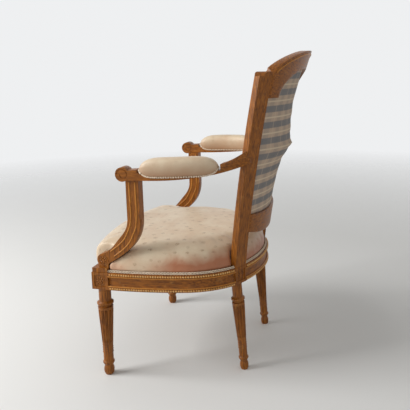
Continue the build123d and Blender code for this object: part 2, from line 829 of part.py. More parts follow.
# Arm support: a whiplash bracket that sweeps back from the front block to the arm
roll_y = die_back_y - support_roll_radius + support_roll_set
support_top_z = arm_bottom_z


def support_outline(margin):
    """Side outline of the arm support, grown by a margin."""
    front_y = support_top_y - support_depth / 2 - margin
    rear_y = support_top_y + support_depth / 2 + margin
    roll = support_roll_radius + margin
    sweep_z = support_roll_z + support_roll_radius
    front_along, front_up = support_front_knee
    rear_along, rear_up = support_rear_knee
    front_knee_z = sweep_z + front_up * (support_bend_z - sweep_z) + margin
    rear_knee_z = sweep_z + rear_up * (support_bend_z - sweep_z) - support_rear_drop - margin
    with BuildSketch(Plane.YZ) as outline:
        with BuildLine():
            head = Line((rear_y, support_top_z), (front_y, support_top_z))
            front_drop = Line(head @ 1, (front_y, support_bend_z))
            front_tail = Spline(
                front_drop @ 1,
                (front_y + front_along * (roll_y - front_y), front_knee_z),
                (roll_y - support_roll_radius * 0.3, support_roll_z + roll * 0.95),
                tangents=[(0, -1), (-1, -0.25)],
            )
            rear_drop = Line(head @ 0, (rear_y, support_bend_z))
            rear_tail = Spline(
                rear_drop @ 1,
                (rear_y + rear_along * (roll_y - rear_y), rear_knee_z),
                (roll_y + roll * 0.85, support_roll_z - roll * 0.5),
                tangents=[(0, -1), (-1, -0.6)],
            )
            Line(front_tail @ 1, rear_tail @ 1)
        make_face()
        with Locations((roll_y, support_roll_z)):
            Circle(roll)
        with Locations((roll_y, rail_top)):
            Rectangle(1.5 * roll, support_roll_z - rail_top, align=(Align.CENTER, Align.MIN))
    return outline.sketch_local


support_side = support_outline(0)
support_foot_tenon = tenon(support_joint, small_tenon_height, tenon_length / 2)
support_head_tenon = tenon(support_head, small_tenon_height, tenon_length / 2)
support_middle = Plane.YZ.offset(front_leg_x)
with BuildPart() as left_arm_support:
    with BuildSketch(support_middle):
        add(support_side)
    extrude(amount=support_width / 2, both=True)
    with Locations((front_leg_x, front_leg_y, rail_top)):
        Box(
            front_die - 2 * rail_lip_step,
            front_die - 2 * rail_lip_step,
            support_plinth,
            align=(Align.CENTER, Align.CENTER, Align.MIN),
        )
    add(left_arm.part, mode=Mode.SUBTRACT)
    add(support_head_tenon)
    add(support_foot_tenon)

# Seat outline, shared by the corner blocks and by every layer of the seat
side_bend_run = side_front % 1
side_bend_out = Vector(side_bend_run.Y, -side_bend_run.X)


def seat_outline(inset, z):
    """Outline of the seat, drawn in from the outer edge of the rails."""
    corner = Vector(die_outer_x - inset, front_leg_y - front_die / 2 + inset)
    bend = Vector(side_bend_x, side_bend_y) - side_bend_out * inset
    post = rear_face_middle - rear_out * inset
    swell = side_bulge * (1 - inset / front_leg_x)
    quarter = (bend - post).length * seat_quarter_swell
    with BuildSketch(Plane.XY.offset(z)) as outline:
        with BuildLine():
            ThreePointArc((-corner.X, corner.Y), (0, front_apex_y + inset), corner)
            ThreePointArc(corner, bulged(corner, bend, swell), bend)
            ThreePointArc(bend, bulged(bend, post, quarter), post)
            ThreePointArc(post, (0, back_base_y - inset), (-post.X, post.Y))
            for start, end, bulge in ((post, bend, quarter), (bend, corner, swell)):
                middle = bulged(end, start, bulge)
                ThreePointArc((-start.X, start.Y), (-middle.X, middle.Y), (-end.X, end.Y))
        make_face()
    return outline.sketch


def seat_prism(inset, low, high):
    outline = seat_outline(inset, low)
    with BuildPart() as solid:
        add(outline)
        extrude(amount=high - low)
    return solid.part


# Corner blocks glued inside the seat frame
block_low = rail_middle_z - block_height / 2
block_toe_y = arc_through(front_apex_y, die_inner_x, front_bow, die_inner_x - block_reach)
frame_inside = seat_prism(rail_thickness / 2, block_low, block_low + block_height)
with BuildPart() as front_block:
    with BuildSketch(Plane.XY.offset(block_low)):
        with BuildLine():
            Polyline(
                (die_outer_x - rail_thickness / 2, die_back_y + block_reach),
                (die_outer_x - rail_thickness / 2, die_back_y),
                (die_inner_x, die_back_y),
                (die_inner_x, front_leg_y - front_die / 2 + rail_thickness / 2),
                (die_inner_x - block_reach, block_toe_y + rail_thickness / 2),
                close=True,
            )
        make_face()
    extrude(amount=block_height)
    add(frame_inside, mode=Mode.INTERSECT)
    for neighbour in (front_sweep, side_sweep):
        add(neighbour, mode=Mode.SUBTRACT)
rear_block_place = Plane(
    origin=rear_face_middle - rear_out * (rail_thickness / 2) + Vector(0, 0, block_low),
    x_dir=rear_side,
    z_dir=(0, 0, 1),
)
with BuildPart() as rear_block:
    with BuildSketch(rear_block_place):
        Rectangle(
            rear_die_width + block_reach,
            rail_thickness + rear_die_depth / 2,
            align=(Align.CENTER, Align.MAX),
        )
    extrude(amount=block_height)
    add(frame_inside, mode=Mode.INTERSECT)
    for neighbour in (rear_sweep, side_sweep):
        add(neighbour, mode=Mode.SUBTRACT)
    with Locations(rear_die_place):
        Box(
            rear_die_width,
            rear_die_depth,
            rail_height,
            align=(Align.CENTER, Align.CENTER, Align.MIN),
            mode=Mode.SUBTRACT,
        )

with BuildPart() as joint_pegs:
    for pin in pegs:
        add(pin)
        add(mirrored(pin))

# Stations of the stuffed seat: how far in from the rail's edge, and the share of the crown reached
seat_stations = (
    (11.0, 0.0),
    (6.5, 0.32),
    (16.0, 0.68),
    (60.0, 0.93),
    (175.0, 1.0),
)
seat_shoulder = 30.0  # inset at which the seat's side has turned over into its top


def stuffed_seat(grow):
    """Crowned seat with drawn-in sides, grown outwards for the layers that lie over it."""
    sections = []
    for inset, share in seat_stations:
        lift = grow * min(1.0, inset / seat_shoulder) if share else 0.0
        sections.append(seat_outline(inset - grow, rail_top + seat_crown * share + lift))
    with BuildPart() as cushion:
        for section in sections[:-1]:
            add(section)
        loft()
        for section in sections[-2:]:
            add(section)
        loft(ruled=True)
    return cushion.part


# Room that the upholstery leaves for the supports and the posts
upholstery_gap = 3 * soft_gap
support_shadow = support_outline(upholstery_gap)
support_reach = Plane.YZ.offset(front_leg_x - support_width / 2 - upholstery_gap)
with BuildPart() as support_room:
    with BuildSketch(support_reach):
        add(support_shadow)
    extrude(amount=front_die + support_width)
    with Locations((die_inner_x - upholstery_gap, die_back_y + upholstery_gap, rail_top)):
        Box(2 * front_die, 2 * front_die, seat_crown, align=(Align.MIN, Align.MAX, Align.MIN))
post_room = stile_body(outside=upholstery_gap, inside=upholstery_gap)
rooms = [
    support_room.part,
    mirrored(support_room.part),
    post_room,
    mirrored(post_room),
]

# Seat webbing: straps that pass over and under each other
web_lift = web_thickness + joint_clearance
web_top = rail_top + web_lift + web_thickness + joint_clearance


def web_profile(crossings, over):
    """Side view of an over-long strap laid on the rails."""
    half = web_width / 2 + 2 * web_lift
    points = [(-back_height, rail_top)]
    for place in crossings:
        if over:
            points += [(place - half, rail_top), (place - half + web_lift, rail_top + web_lift)]
            points += [(place + half - web_lift, rail_top + web_lift), (place + half, rail_top)]
        over = not over
    points.append((back_height, rail_top))
    return points + [(along, height + web_thickness) for along, height in reversed(points)]


long_count = int(2 * rear_die_x / web_pitch)
cross_count = int((back_base_y - web_first_y) / web_pitch)
long_places = [web_pitch * (step - (long_count - 1) / 2) for step in range(long_count)]
cross_places = [web_first_y + web_pitch * step for step in range(cross_count)]
web_field = seat_prism(web_inset, rail_top, web_top)
with BuildPart() as seat_webbing:
    for index, x in enumerate(long_places):
        with BuildSketch(Plane.YZ.offset(x)):
            with BuildLine():
                Polyline(*web_profile(cross_places, index % 2 == 0), close=True)
            make_face()
        extrude(amount=web_width / 2, both=True)
    for index, y in enumerate(cross_places):
        with BuildSketch(Plane.XZ.offset(-y)):
            with BuildLine():
                Polyline(*web_profile(long_places, index % 2 == 1), close=True)
            make_face()
        extrude(amount=web_width / 2, both=True)
    add(web_field, mode=Mode.INTERSECT)

# Seat burlap, stuffing, cover and gimp
burlap_top = web_top + burlap_thickness
burlap_outside = seat_prism(burlap_inset, rail_top + soft_gap, burlap_top)
burlap_hollow = seat_prism(burlap_inset + burlap_thickness, rail_top, web_top)
with BuildPart() as seat_burlap:
    add(burlap_outside)
    add(burlap_hollow, mode=Mode.SUBTRACT)
    for room in rooms:
        add(room, mode=Mode.SUBTRACT)

seat_form = stuffed_seat(0)
with BuildPart() as seat_stuffing:
    add(seat_form)
    split(bisect_by=Plane.XY.offset(burlap_top + soft_gap), keep=Keep.TOP)
    for room in rooms:
        add(room, mode=Mode.SUBTRACT)

seat_cover_inside = stuffed_seat(soft_gap)
seat_cover_outside = stuffed_seat(soft_gap + cover_thickness)
with BuildPart() as seat_cover:
    add(seat_cover_outside)
    add(seat_cover_inside, mode=Mode.SUBTRACT)
    split(bisect_by=Plane.XY.offset(rail_top + soft_gap), keep=Keep.TOP)
    for room in rooms:
        add(room, mode=Mode.SUBTRACT)

gimp_low = rail_top + soft_gap
gimp_outside = seat_prism(gimp_inset, gimp_low, gimp_low + gimp_width)
gimp_inside = seat_prism(gimp_inset + gimp_thickness, gimp_low, gimp_low + gimp_width)
with BuildPart() as seat_gimp:
    add(gimp_outside)
    add(gimp_inside, mode=Mode.SUBTRACT)
    for room in rooms:
        add(room, mode=Mode.SUBTRACT)

# Arm pads, which follow the arm's middle line
arm_end_middle = (arm_end_outer + arm_end_inner) * 0.5
arm_fall = arm_x - arm_end_middle.X
arm_run = arm_end_middle.Y - arm_straight_end_y
arm_bend_radius = (arm_fall**2 + arm_run**2) / (2 * arm_fall)

# Stations of an arm pad: share of its length, of its width and of its height
pad_stations = (
    (0.0, 0.38, 0.5),
    (0.06, 0.74, 0.8),
    (0.2, 0.97, 1.0),
    (0.5, 1.0, 1.0),
    (0.8, 0.97, 1.0),
    (0.94, 0.74, 0.82),
    (1.0, 0.38, 0.55),
)


def pad_section(share, width_share, height_share, grow, sink):
    """Section of a stuffed arm pad across the arm: flat foot, swollen sides, round top."""
    front = pad_front_y + pad_front_gap - grow
    back = pad_back_y - pad_back_gap + grow
    y = front + share * (back - front)
    past = max(0.0, y - arm_straight_end_y)
    turn = math.asin(past / arm_bend_radius)
    x = arm_x - arm_bend_radius * (1 - math.cos(turn))
    z = pad_front_z + pad_slope * (y - pad_front_y) + soft_gap
    half = pad_width / 2 * width_share + grow
    foot = half - pad_width * pad_undercut * width_share
    height = pad_height * height_share - soft_gap + grow
    belly = height * pad_belly
    shoulder = (half * pad_shoulder[0], height * pad_shoulder[1])
    plane = Plane(
        origin=(x, y, z),
        x_dir=(math.cos(turn), math.sin(turn), 0),
        z_dir=(math.sin(turn), -math.cos(turn), 0),
    )
    with BuildSketch(plane) as section:
        with BuildLine():
            Line((-foot, -sink), (foot, -sink))
            if sink:
                Line((foot, -sink), (foot, 0))
                Line((-foot, 0), (-foot, -sink))
            ThreePointArc((foot, 0), (half, belly), shoulder)
            ThreePointArc(shoulder, (0, height), (-shoulder[0], shoulder[1]))
            ThreePointArc((-shoulder[0], shoulder[1]), (-half, belly), (-foot, 0))
        make_face()
    return section.sketch


def stuffed_pad(grow, sink=0.0):
    """Stuffed arm pad, grown for the layers over it; sunk below the arm where it is a cutter."""
    sections = [pad_section(*station, grow, sink) for station in pad_stations]
    with BuildPart() as pad:
        for section in sections:
            add(section)
        loft()
    return pad.part


left_pad_stuffing = stuffed_pad(0)
pad_cover_inside = stuffed_pad(soft_gap, gimp_thickness)
pad_cover_outside = stuffed_pad(soft_gap + cover_thickness)
with BuildPart() as left_pad_cover:
    add(pad_cover_outside)
    add(pad_cover_inside, mode=Mode.SUBTRACT)
pad_gimp_inside = stuffed_pad(2 * soft_gap + cover_thickness, gimp_thickness)
pad_gimp_outside = stuffed_pad(2 * soft_gap + cover_thickness + gimp_thickness)
with BuildPart() as pad_gimp_slab:
    with BuildSketch(Plane.YZ):
        with BuildLine():
            Polyline(
                (pad_front_y, pad_front_z),
                (pad_back_y, pad_back_z),
                (pad_back_y, pad_back_z + pad_gimp_width),
                (pad_front_y, pad_front_z + pad_gimp_width),
                close=True,
            )
        make_face()
    extrude(amount=back_height)
with BuildPart() as left_pad_gimp:
    add(pad_gimp_outside)
    add(pad_gimp_slab.part, mode=Mode.INTERSECT)
    add(pad_gimp_inside, mode=Mode.SUBTRACT)


# Back upholstery
def opening_side(z, depth):
    """Inner edge of a stile at a depth from its rear face."""
    return stile_inner_x(z) - depth * math.sin(stile_turn(z))


def back_prism(grow, depth):
    """The back's opening in front view, grown over the frame and run right through it."""
    low_apex = low_rail_top - low_rail_top_sag - grow
    side_low = opening_side(low_rail_top, depth) + grow
    low_z = arc_through(low_apex, low_end_x, low_rail_top_sag, side_low)
    high_z = shoulder_z + grow
    middle_z = (low_z + high_z) / 2
    side_middle = opening_side(middle_z, depth) + grow
    side_high = opening_side(high_z, depth) + grow
    arch_x = shoulder_x + grow
    with BuildPart() as prism:
        with BuildSketch(Plane.XZ):
            with BuildLine():
                ThreePointArc((-side_low, low_z), (0, low_apex), (side_low, low_z))
                ThreePointArc((side_low, low_z), (side_middle, middle_z), (side_high, high_z))
                Line((side_high, high_z), (arch_x, high_z))
                if high_z < arch_spring_z:
                    Line((arch_x, high_z), (arch_x, arch_spring_z))
                    Line((-arch_x, arch_spring_z), (-arch_x, high_z))
                EllipticalCenterArc(
                    (0, max(high_z, arch_spring_z)),
                    arch_x,
                    arch_spring_z + shoulder_arch_rise + grow - max(high_z, arch_spring_z),
                    start_angle=0,
                    arc_size=180,
                )
                Line((-arch_x, high_z), (-side_high, high_z))
                ThreePointArc((-side_high, high_z), (-side_middle, middle_z), (-side_low, low_z))
            make_face()
        extrude(amount=back_height, both=True)
    return prism.part


# Slack of the outside cloth: share of the opening's height, and how far the cloth hangs out behind its edge
cloth_slack = (
    (-0.1, 0.0),
    (0.05, 0.0),
    (0.2, 2.0),
    (0.32, 7.0),
    (0.45, 22.0),
    (0.54, 16.0),
    (0.65, 5.0),
    (0.77, -2.0),
    (1.05, -3.0),
)
opening_height = arch_spring_z + shoulder_arch_rise - low_rail_top


def slack_at(z):
    """Extra depth of the outside cloth on the middle line, from the slack measured at some heights."""
    place = (z - low_rail_top) / opening_height
    low, high = cloth_slack[:2]
    for station in cloth_slack[2:]:
        if place > high[0]:
            low, high = high, station
    return -(low[1] + (high[1] - low[1]) * (place - low[0]) / (high[0] - low[0]))


def opening_span(z):
    return stile_inner_x(z) + stile_width / 2


def crown_at(z):
    """How much deeper the back's stuffing is on the middle line than at its edge."""
    middle = (low_rail_top + back_height - crest_depth) / 2
    share = (z - middle) / (back_height - crest_depth - middle + back_overlap)
    return (back_stuffing_depth - back_edge_depth) * max(0.0, 1 - share**2)


back_low = low_rail_top - low_rail_sag
back_high = back_height - rail_lip
cloth_low = low_rail_top + opening_height * cloth_slack[0][0]
cloth_high = low_rail_top + opening_height * cloth_slack[-1][0]
cloth_band = back_band(
    cloth_low,
    cloth_high,
    outside_back_depth,
    outside_back_depth + cover_thickness,
    near_swell=slack_at,
    far_swell=slack_at,
    span=opening_span,
    steps=10,
)
cloth_prism = back_prism(-upholstery_gap, outside_back_depth + cover_thickness)
with BuildPart() as outside_back_cover:
    add(cloth_band)
    add(cloth_prism, mode=Mode.INTERSECT)

# Back webbing: upright straps on the frame's front face, with straps across them
web_near = back_thickness + joint_clearance
web_far = web_near + web_thickness
upright_band = back_band(back_low, back_high, web_near, web_far)
across_band = back_band(back_low, back_high, web_far + joint_clearance, web_far + web_lift)
back_jute_field = back_prism(back_overlap - burlap_thickness, back_thickness)
across_count = 1 + int((shoulder_z - back_web_height) / back_web_pitch)
across_places = [(0, back_web_height + back_web_pitch * step) for step in range(across_count)]
with BuildPart() as upright_webs:
    with BuildSketch(Plane.XZ):
        with Locations((back_web_x, back_low), (-back_web_x, back_low)):
            Rectangle(web_width, back_height, align=(Align.CENTER, Align.MIN))
    extrude(amount=back_height, both=True)
    add(upright_band, mode=Mode.INTERSECT)
    add(back_jute_field, mode=Mode.INTERSECT)
with BuildPart() as back_webbing:
    with BuildSketch(Plane.XZ):
        with Locations(*across_places):
            Rectangle(back_height, web_width)
    extrude(amount=back_height, both=True)
    add(across_band, mode=Mode.INTERSECT)
    add(back_jute_field, mode=Mode.INTERSECT)
    add(upright_webs.part)

# Back burlap, stuffing, inside cover and gimp
back_burlap_near = web_far + web_lift + joint_clearance
back_stuffing_near = back_burlap_near + burlap_thickness + soft_gap
burlap_band = back_band(back_low, back_high, back_burlap_near, back_burlap_near + burlap_thickness)
with BuildPart() as back_burlap:
    add(burlap_band)
    add(back_jute_field, mode=Mode.INTERSECT)


def stuffed_back(near, grow):
    """Crowned stuffing of the back, grown for the cover that lies over it."""
    band = back_band(
        back_low,
        back_high,
        near,
        back_stuffing_near + back_edge_depth + grow,
        far_swell=crown_at,
        span=opening_span,
        steps=6,
    )
    field = back_prism(back_overlap + grow, back_thickness)
    with BuildPart() as pad:
        add(band)
        add(field, mode=Mode.INTERSECT)
    return pad.part


back_stuffing = stuffed_back(back_stuffing_near, 0)
back_cover_inside = stuffed_back(back_thickness, soft_gap)
back_cover_outside = stuffed_back(back_thickness + back_face_ease, soft_gap + cover_thickness)
with BuildPart() as inside_back_cover:
    add(back_cover_outside)
    add(back_cover_inside, mode=Mode.SUBTRACT)

back_gimp_near = back_thickness + back_face_ease
back_gimp_band = back_band(back_low, back_high, back_gimp_near, back_gimp_near + gimp_thickness)
back_gimp_grow = back_overlap + 2 * soft_gap + cover_thickness
back_gimp_outside = back_prism(back_gimp_grow + gimp_width, back_thickness)
back_gimp_inside = back_prism(back_gimp_grow, back_thickness)
with BuildPart() as back_gimp:
    add(back_gimp_outside)
    add(back_gimp_inside, mode=Mode.SUBTRACT)
    add(back_gimp_band, mode=Mode.INTERSECT)

pieces = {
    "front_seat_rail": front_seat_rail.part,
    "rear_seat_rail": rear_seat_rail.part,
    "crest_rail": crest_rail.part,
    "lower_back_rail": lower_back_rail.part,
    "joint_pegs": joint_pegs.part,
    "seat_webbing": seat_webbing.part,
    "seat_burlap": seat_burlap.part,
    "seat_stuffing": seat_stuffing.part,
    "seat_cover": seat_cover.part,
    "seat_gimp": seat_gimp.part,
    "back_webbing": back_webbing.part,
    "back_burlap": back_burlap.part,
    "back_stuffing": back_stuffing,
    "inside_back_cover": inside_back_cover.part,
    "outside_back_cover": outside_back_cover.part,
    "back_gimp": back_gimp.part,
}
pairs = {
    "front_{}_leg": front_left_leg.part,
    "rear_{}_post": rear_left_post.part,
    "{}_seat_rail": left_seat_rail.part,
    "{}_arm": left_arm.part,
    "{}_arm_support": left_arm_support.part,
    "front_{}_corner_block": front_block.part,
    "rear_{}_corner_block": rear_block.part,
    "{}_arm_pad_stuffing": left_pad_stuffing,
    "{}_arm_pad_cover": left_pad_cover.part,
    "{}_arm_pad_gimp": left_pad_gimp.part,
}
for name, part in pairs.items():
    pieces[name.format("left")] = part
    pieces[name.format("right")] = mirrored(part)

os.makedirs("parts", exist_ok=True)
for name, part in pieces.items():
    part.label = name
    export_step(part, f"parts/{name}.step")
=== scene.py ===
"""Dresses the open armchair: waxed wood, carved trim, stuffed satin, plaid cloth, braid and a plain studio.

Metres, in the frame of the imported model. The sitter faces -Y and the sitter's left hand is on the +X side.
"""

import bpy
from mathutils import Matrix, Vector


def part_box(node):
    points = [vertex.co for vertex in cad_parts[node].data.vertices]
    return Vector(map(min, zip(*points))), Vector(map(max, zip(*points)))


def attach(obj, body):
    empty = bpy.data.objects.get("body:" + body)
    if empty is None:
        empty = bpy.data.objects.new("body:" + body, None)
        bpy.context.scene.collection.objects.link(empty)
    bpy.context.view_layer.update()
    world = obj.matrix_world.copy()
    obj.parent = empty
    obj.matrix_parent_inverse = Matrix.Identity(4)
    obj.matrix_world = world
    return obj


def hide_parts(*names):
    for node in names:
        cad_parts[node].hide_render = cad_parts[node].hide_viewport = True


bl_info = {
    "name": "Louis XVI armchair",
    "version": (1, 0, 0),
    "blender": (4, 5, 0),
    "location": "View3D > Sidebar > Armchair",
    "description": "Wood finish, carving and upholstery of an open armchair",
    "category": "Object",
}

from math import asin, atan, atan2, cos, exp, hypot, pi, radians, sin, sqrt, tau

import bmesh
import bpy
from bpy.props import FloatProperty, FloatVectorProperty, PointerProperty
from mathutils import Matrix, Vector

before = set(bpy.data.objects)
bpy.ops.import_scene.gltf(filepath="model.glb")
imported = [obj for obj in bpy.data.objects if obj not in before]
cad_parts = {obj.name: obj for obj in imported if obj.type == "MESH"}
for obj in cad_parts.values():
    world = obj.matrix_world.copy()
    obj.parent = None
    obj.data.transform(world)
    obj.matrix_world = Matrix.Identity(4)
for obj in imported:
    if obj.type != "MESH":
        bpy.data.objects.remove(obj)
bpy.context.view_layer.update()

# Sizes read from the frame
leg_low, leg_high = (Vector(corner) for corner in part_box("front_left_leg"))
rail_low = Vector(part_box("front_seat_rail")[0])
crest_high = Vector(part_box("crest_rail")[1])
rail_top = leg_high.z
rail_bottom = rail_low.z
die_outer_x = leg_high.x
die_front_y = leg_low.y
die_size = leg_high.x - leg_low.x
die_inner_x = leg_low.x
die_x = die_outer_x - die_size / 2
die_y = die_front_y + die_size / 2
die_back_y = leg_high.y
front_apex_y = rail_low.y
back_height = crest_high.z
back_top_y = crest_high.y

# Seat plan and back, as in the solids
side_bend = Vector((0.262, -0.001))
side_swell = Vector((0.279, -0.117))
quarter_swell = Vector((0.234, 0.0713))
rear_die_x = 0.161
rear_die_width = 0.046
back_base_y = 0.178
back_base_slope = 0.12
back_radius = 0.350
back_thickness = 0.026
stile_width = 0.046
stile_axis = 0.44  # share of a stile's width, from its outer edge, at which it follows the hollow
back_base_half_width = 0.181
back_flare = 0.045
ear_z = 0.863
shoulder_x = 0.141
shoulder_z = 0.808
arch_rise = 0.068
crest_depth = 0.051
crest_run_on = 0.0015
crest_bead_drop = 0.006
low_rail_top = 0.478
low_rail_sag = 0.012

# Arms and supports
arm_x = 0.264
arm_straight_end_y = -0.060
arm_bend_radius = 0.372
pad_front_y = -0.114
pad_back_y = 0.098
pad_front_z = 0.6122
pad_slope = 7.0 / 224.0
roll_y = -0.236
roll_z = 0.356
support_x = 0.258
support_width = 0.028

# Legs
flute_count = 12
rod_low_z = 0.160
rod_high_z = 0.203
shaft_low = (0.097, 0.0155)  # height and radius at the foot and at the head of the shaft
shaft_high = (0.213, 0.0220)
rear_slimness = 0.86
rear_lean = 0.0206
rear_leg_inset = 0.019  # from the block's rear face to the leg's axis

hands = ("left", "right")
turned_nodes = [f"front_{hand}_leg" for hand in hands] + [f"rear_{hand}_post" for hand in hands]
seat_rails = [side + "_seat_rail" for side in ("front", *hands, "rear")]
back_rails = ["crest_rail", "lower_back_rail"]
bevelled_nodes = seat_rails + back_rails + [hand + "_arm" for hand in hands]
bevelled_nodes += [hand + "_arm_support" for hand in hands]
wood_nodes = turned_nodes + bevelled_nodes
inner_wood_nodes = [f"{end}_{hand}_corner_block" for end in ("front", "rear") for hand in hands]
inner_wood_nodes.append("joint_pegs")

# Rust stains and painted shade on the satin: where each fades in and is full, as heights above the rail or
# pad, or along Y
rust_height = (0.056, 0.020)
rust_along = (-0.13, -0.03)
front_shade_height = (0.036, 0.008)
front_shade_along = (-0.13, -0.20)
pad_shade_height = (0.036, -0.010)
arm_side_x = (0.205, 0.215)
arm_side_z = (0.52, 0.55)


def srgb(red, green, blue):
    """Linear colour from the 0 to 255 values that a picture shows."""
    shares = [value / 255 for value in (red, green, blue)]
    return tuple(((v + 0.055) / 1.055) ** 2.4 if v > 0.04045 else v / 12.92 for v in shares)


def colour(label, words, value):
    return FloatVectorProperty(
        name=label, description=words, subtype="COLOR", size=3, min=0, max=1, default=srgb(*value)
    )


def length(label, words, value):
    return FloatProperty(name=label, description=words, unit="LENGTH", default=value)


class ArmchairSizes(bpy.types.PropertyGroup):
    bead_radius: length("Bead radius", "Radius of a carved bead", 0.0030)
    bead_pitch: length("Bead pitch", "Distance between neighbouring beads", 0.0070)
    rosette_radius: length("Rosette radius", "Radius of a carved rosette", 0.0145)
    rod_radius: length("Rod radius", "Radius of a rod in a flute", 0.0023)
    edge_round: length("Edge rounding", "Rounding of the frame's edges", 0.0022)
    crest_round: length("Crest rounding", "Rounding of the crest's edges", 0.0042)
    seat_rise: length("Seat rise", "How far the stuffed seat may swell", 0.006)
    corner_rise: length("Corner rise", "How far the seat's front corners stand up", 0.004)
    front_swell: length("Front swell", "How far the seat's front swells forwards", 0.013)
    reed_radius: length("Reed radius", "Radius of a carved reed", 0.0022)
    pad_rise: length("Pad rise", "How far the stuffed back may swell", 0.004)
    sprig_cell: length("Sprig spacing", "Distance between woven sprigs", 0.036)
    plaid_repeat: length("Plaid repeat", "Height of one repeat of the plaid", 0.045)
    cloth_edge_depth: length("Cloth depth", "How deep the outside cloth sits in its opening", 0.008)


class ArmchairColours(bpy.types.PropertyGroup):
    wood_light: colour("Light wood", "Golden rubbed wood", (162, 97, 28))
    wood_dark: colour("Dark wood", "Brown of the grain", (95, 51, 12))
    wood_worn: colour("Worn wood", "Pale wood where the wax has gone", (200, 152, 86))
    # Rubbed wear and painted highlight: the reeds are a little paler than the frame, as lit edges look
    wood_edge_wear_and_highlight: colour("Edge wood", "Rubbed wood of the reeds", (188, 128, 54))
    # Rubbed wear and painted highlight: the beads are paler than the frame, as if lit on their tops
    wood_bead_wear_and_highlight: colour("Bead wood", "Rubbed wood of the beads", (218, 178, 118))
    wood_bare: colour("Bare wood", "Unfinished beech inside the frame", (170, 130, 88))
    satin: colour("Satin", "Ground of the satin", (214, 196, 168))
    satin_worn: colour("Worn satin", "Darker places of the satin", (200, 172, 142))
    sprig: colour("Sprigs", "Woven sprigs", (154, 128, 100))
    stain: colour("Stain", "Rust stains low on the seat", (164, 94, 54))
    # Painted shade: pink brown low on the seat's front, where shade falls
    front_shade: colour("Front shade", "Pink stains low on the seat's front", (202, 150, 118))
    # Painted shade: brown on the lower part of the arm pads, where shade falls
    pad_shade: colour("Pad shade", "Brown of the handled arm pads", (158, 116, 82))
    plaid_ground: colour("Plaid ground", "Taupe ground of the plaid", (182, 160, 140))
    plaid_band: colour("Plaid band", "Slate bands of the plaid", (84, 96, 106))
    plaid_line: colour("Plaid line", "Cream lines of the plaid", (214, 196, 168))
    braid: colour("Braid", "Woven braid", (228, 208, 184))
    jute: colour("Jute", "Webbing and burlap", (150, 120, 82))
    floor: colour("Floor", "Pale studio floor", (226, 226, 224))


# Nodes
def feed(tree, node, inputs):
    """Sets or links a node's inputs."""
    for key, value in inputs.items():
        socket = node.inputs[key]
        if isinstance(value, bpy.types.NodeSocket):
            tree.links.new(value, socket)
        elif socket.type == "RGBA" and len(value) == 3:
            socket.default_value = (*value, 1)
        else:
            socket.default_value = value


def put(tree, kind, inputs, **settings):
    """A new shader node with its settings made and its inputs set or linked."""
    node = tree.nodes.new("ShaderNode" + kind)
    for key, value in settings.items():
        setattr(node, key, value)
    feed(tree, node, inputs)
    return node


def calc(tree, operation, a, b=0.0, c=0.0):
    return put(tree, "Math", {0: a, 1: b, 2: c}, operation=operation).outputs[0]


def times(tree, a, b, plus=0.0):
    return calc(tree, "MULTIPLY_ADD", a, b, plus)


def mix(tree, factor, a, b):
    return put(tree, "Mix", {0: factor, 6: a, 7: b}, data_type="RGBA").outputs[2]


def fade(tree, value, low, high):
    """0 below low and 1 above high; turned round if low is the larger."""
    return put(tree, "MapRange", {"Value": value, "From Min": low, "From Max": high}).outputs["Result"]


def noise(tree, vector, scale, detail, distortion=0.0):
    inputs = {"Vector": vector, "Scale": scale, "Detail": detail, "Distortion": distortion}
    return put(tree, "TexNoise", inputs).outputs["Fac"]


def group(name, inputs, outputs):
    """A shader node group with its named sockets: the tree, what it is given and its output node."""
    tree = bpy.data.node_groups.new(name, "ShaderNodeTree")
    for way, sockets in (("INPUT", inputs), ("OUTPUT", outputs)):
        for label, kind in sockets:
            tree.interface.new_socket(label, in_out=way, socket_type=kind)
    return tree, tree.nodes.new("NodeGroupInput").outputs, tree.nodes.new("NodeGroupOutput")


COLOR, VALUE, PLACE = "NodeSocketColor", "NodeSocketFloat", "NodeSocketVector"


def grain_group():
    """Rubbed wood: streaks along the grain, pores, and pale places where the wax has worn away."""
    sockets = [("Along", PLACE), ("Place", PLACE), ("Light", COLOR), ("Dark", COLOR), ("Worn", COLOR)]
    results = [("Color", COLOR), ("Roughness", VALUE), ("Height", VALUE)]
    tree, given, result = group("wood_grain", sockets, results)
    streak = noise(tree, given["Along"], 4.0, 6.0, 0.6)
    pores = noise(tree, given["Along"], 22.0, 2.0)
    patches = noise(tree, given["Place"], 38.0, 5.0, 0.8)
    tone = mix(tree, fade(tree, streak, 0.3, 0.7), given["Dark"], given["Light"])
    tone = mix(tree, times(tree, fade(tree, patches, 0.58, 0.78), 0.24), tone, given["Worn"])
    height = times(tree, pores, 0.5, streak)
    feed(tree, result, {"Color": tone, "Roughness": times(tree, streak, 0.3, 0.26), "Height": height})


def weave_group():
    """Crossing threads as a height; Count is threads per metre."""
    tree, given, result = group("weave", [("Place", PLACE), ("Count", VALUE)], [("Height", VALUE)])
    split = put(tree, "SeparateXYZ", {0: given["Place"]}).outputs
    turns = times(tree, given["Count"], tau)
    warp, weft = (calc(tree, "SINE", times(tree, split[axis], turns)) for axis in "XY")
    feed(tree, result, {"Height": times(tree, warp, weft)})


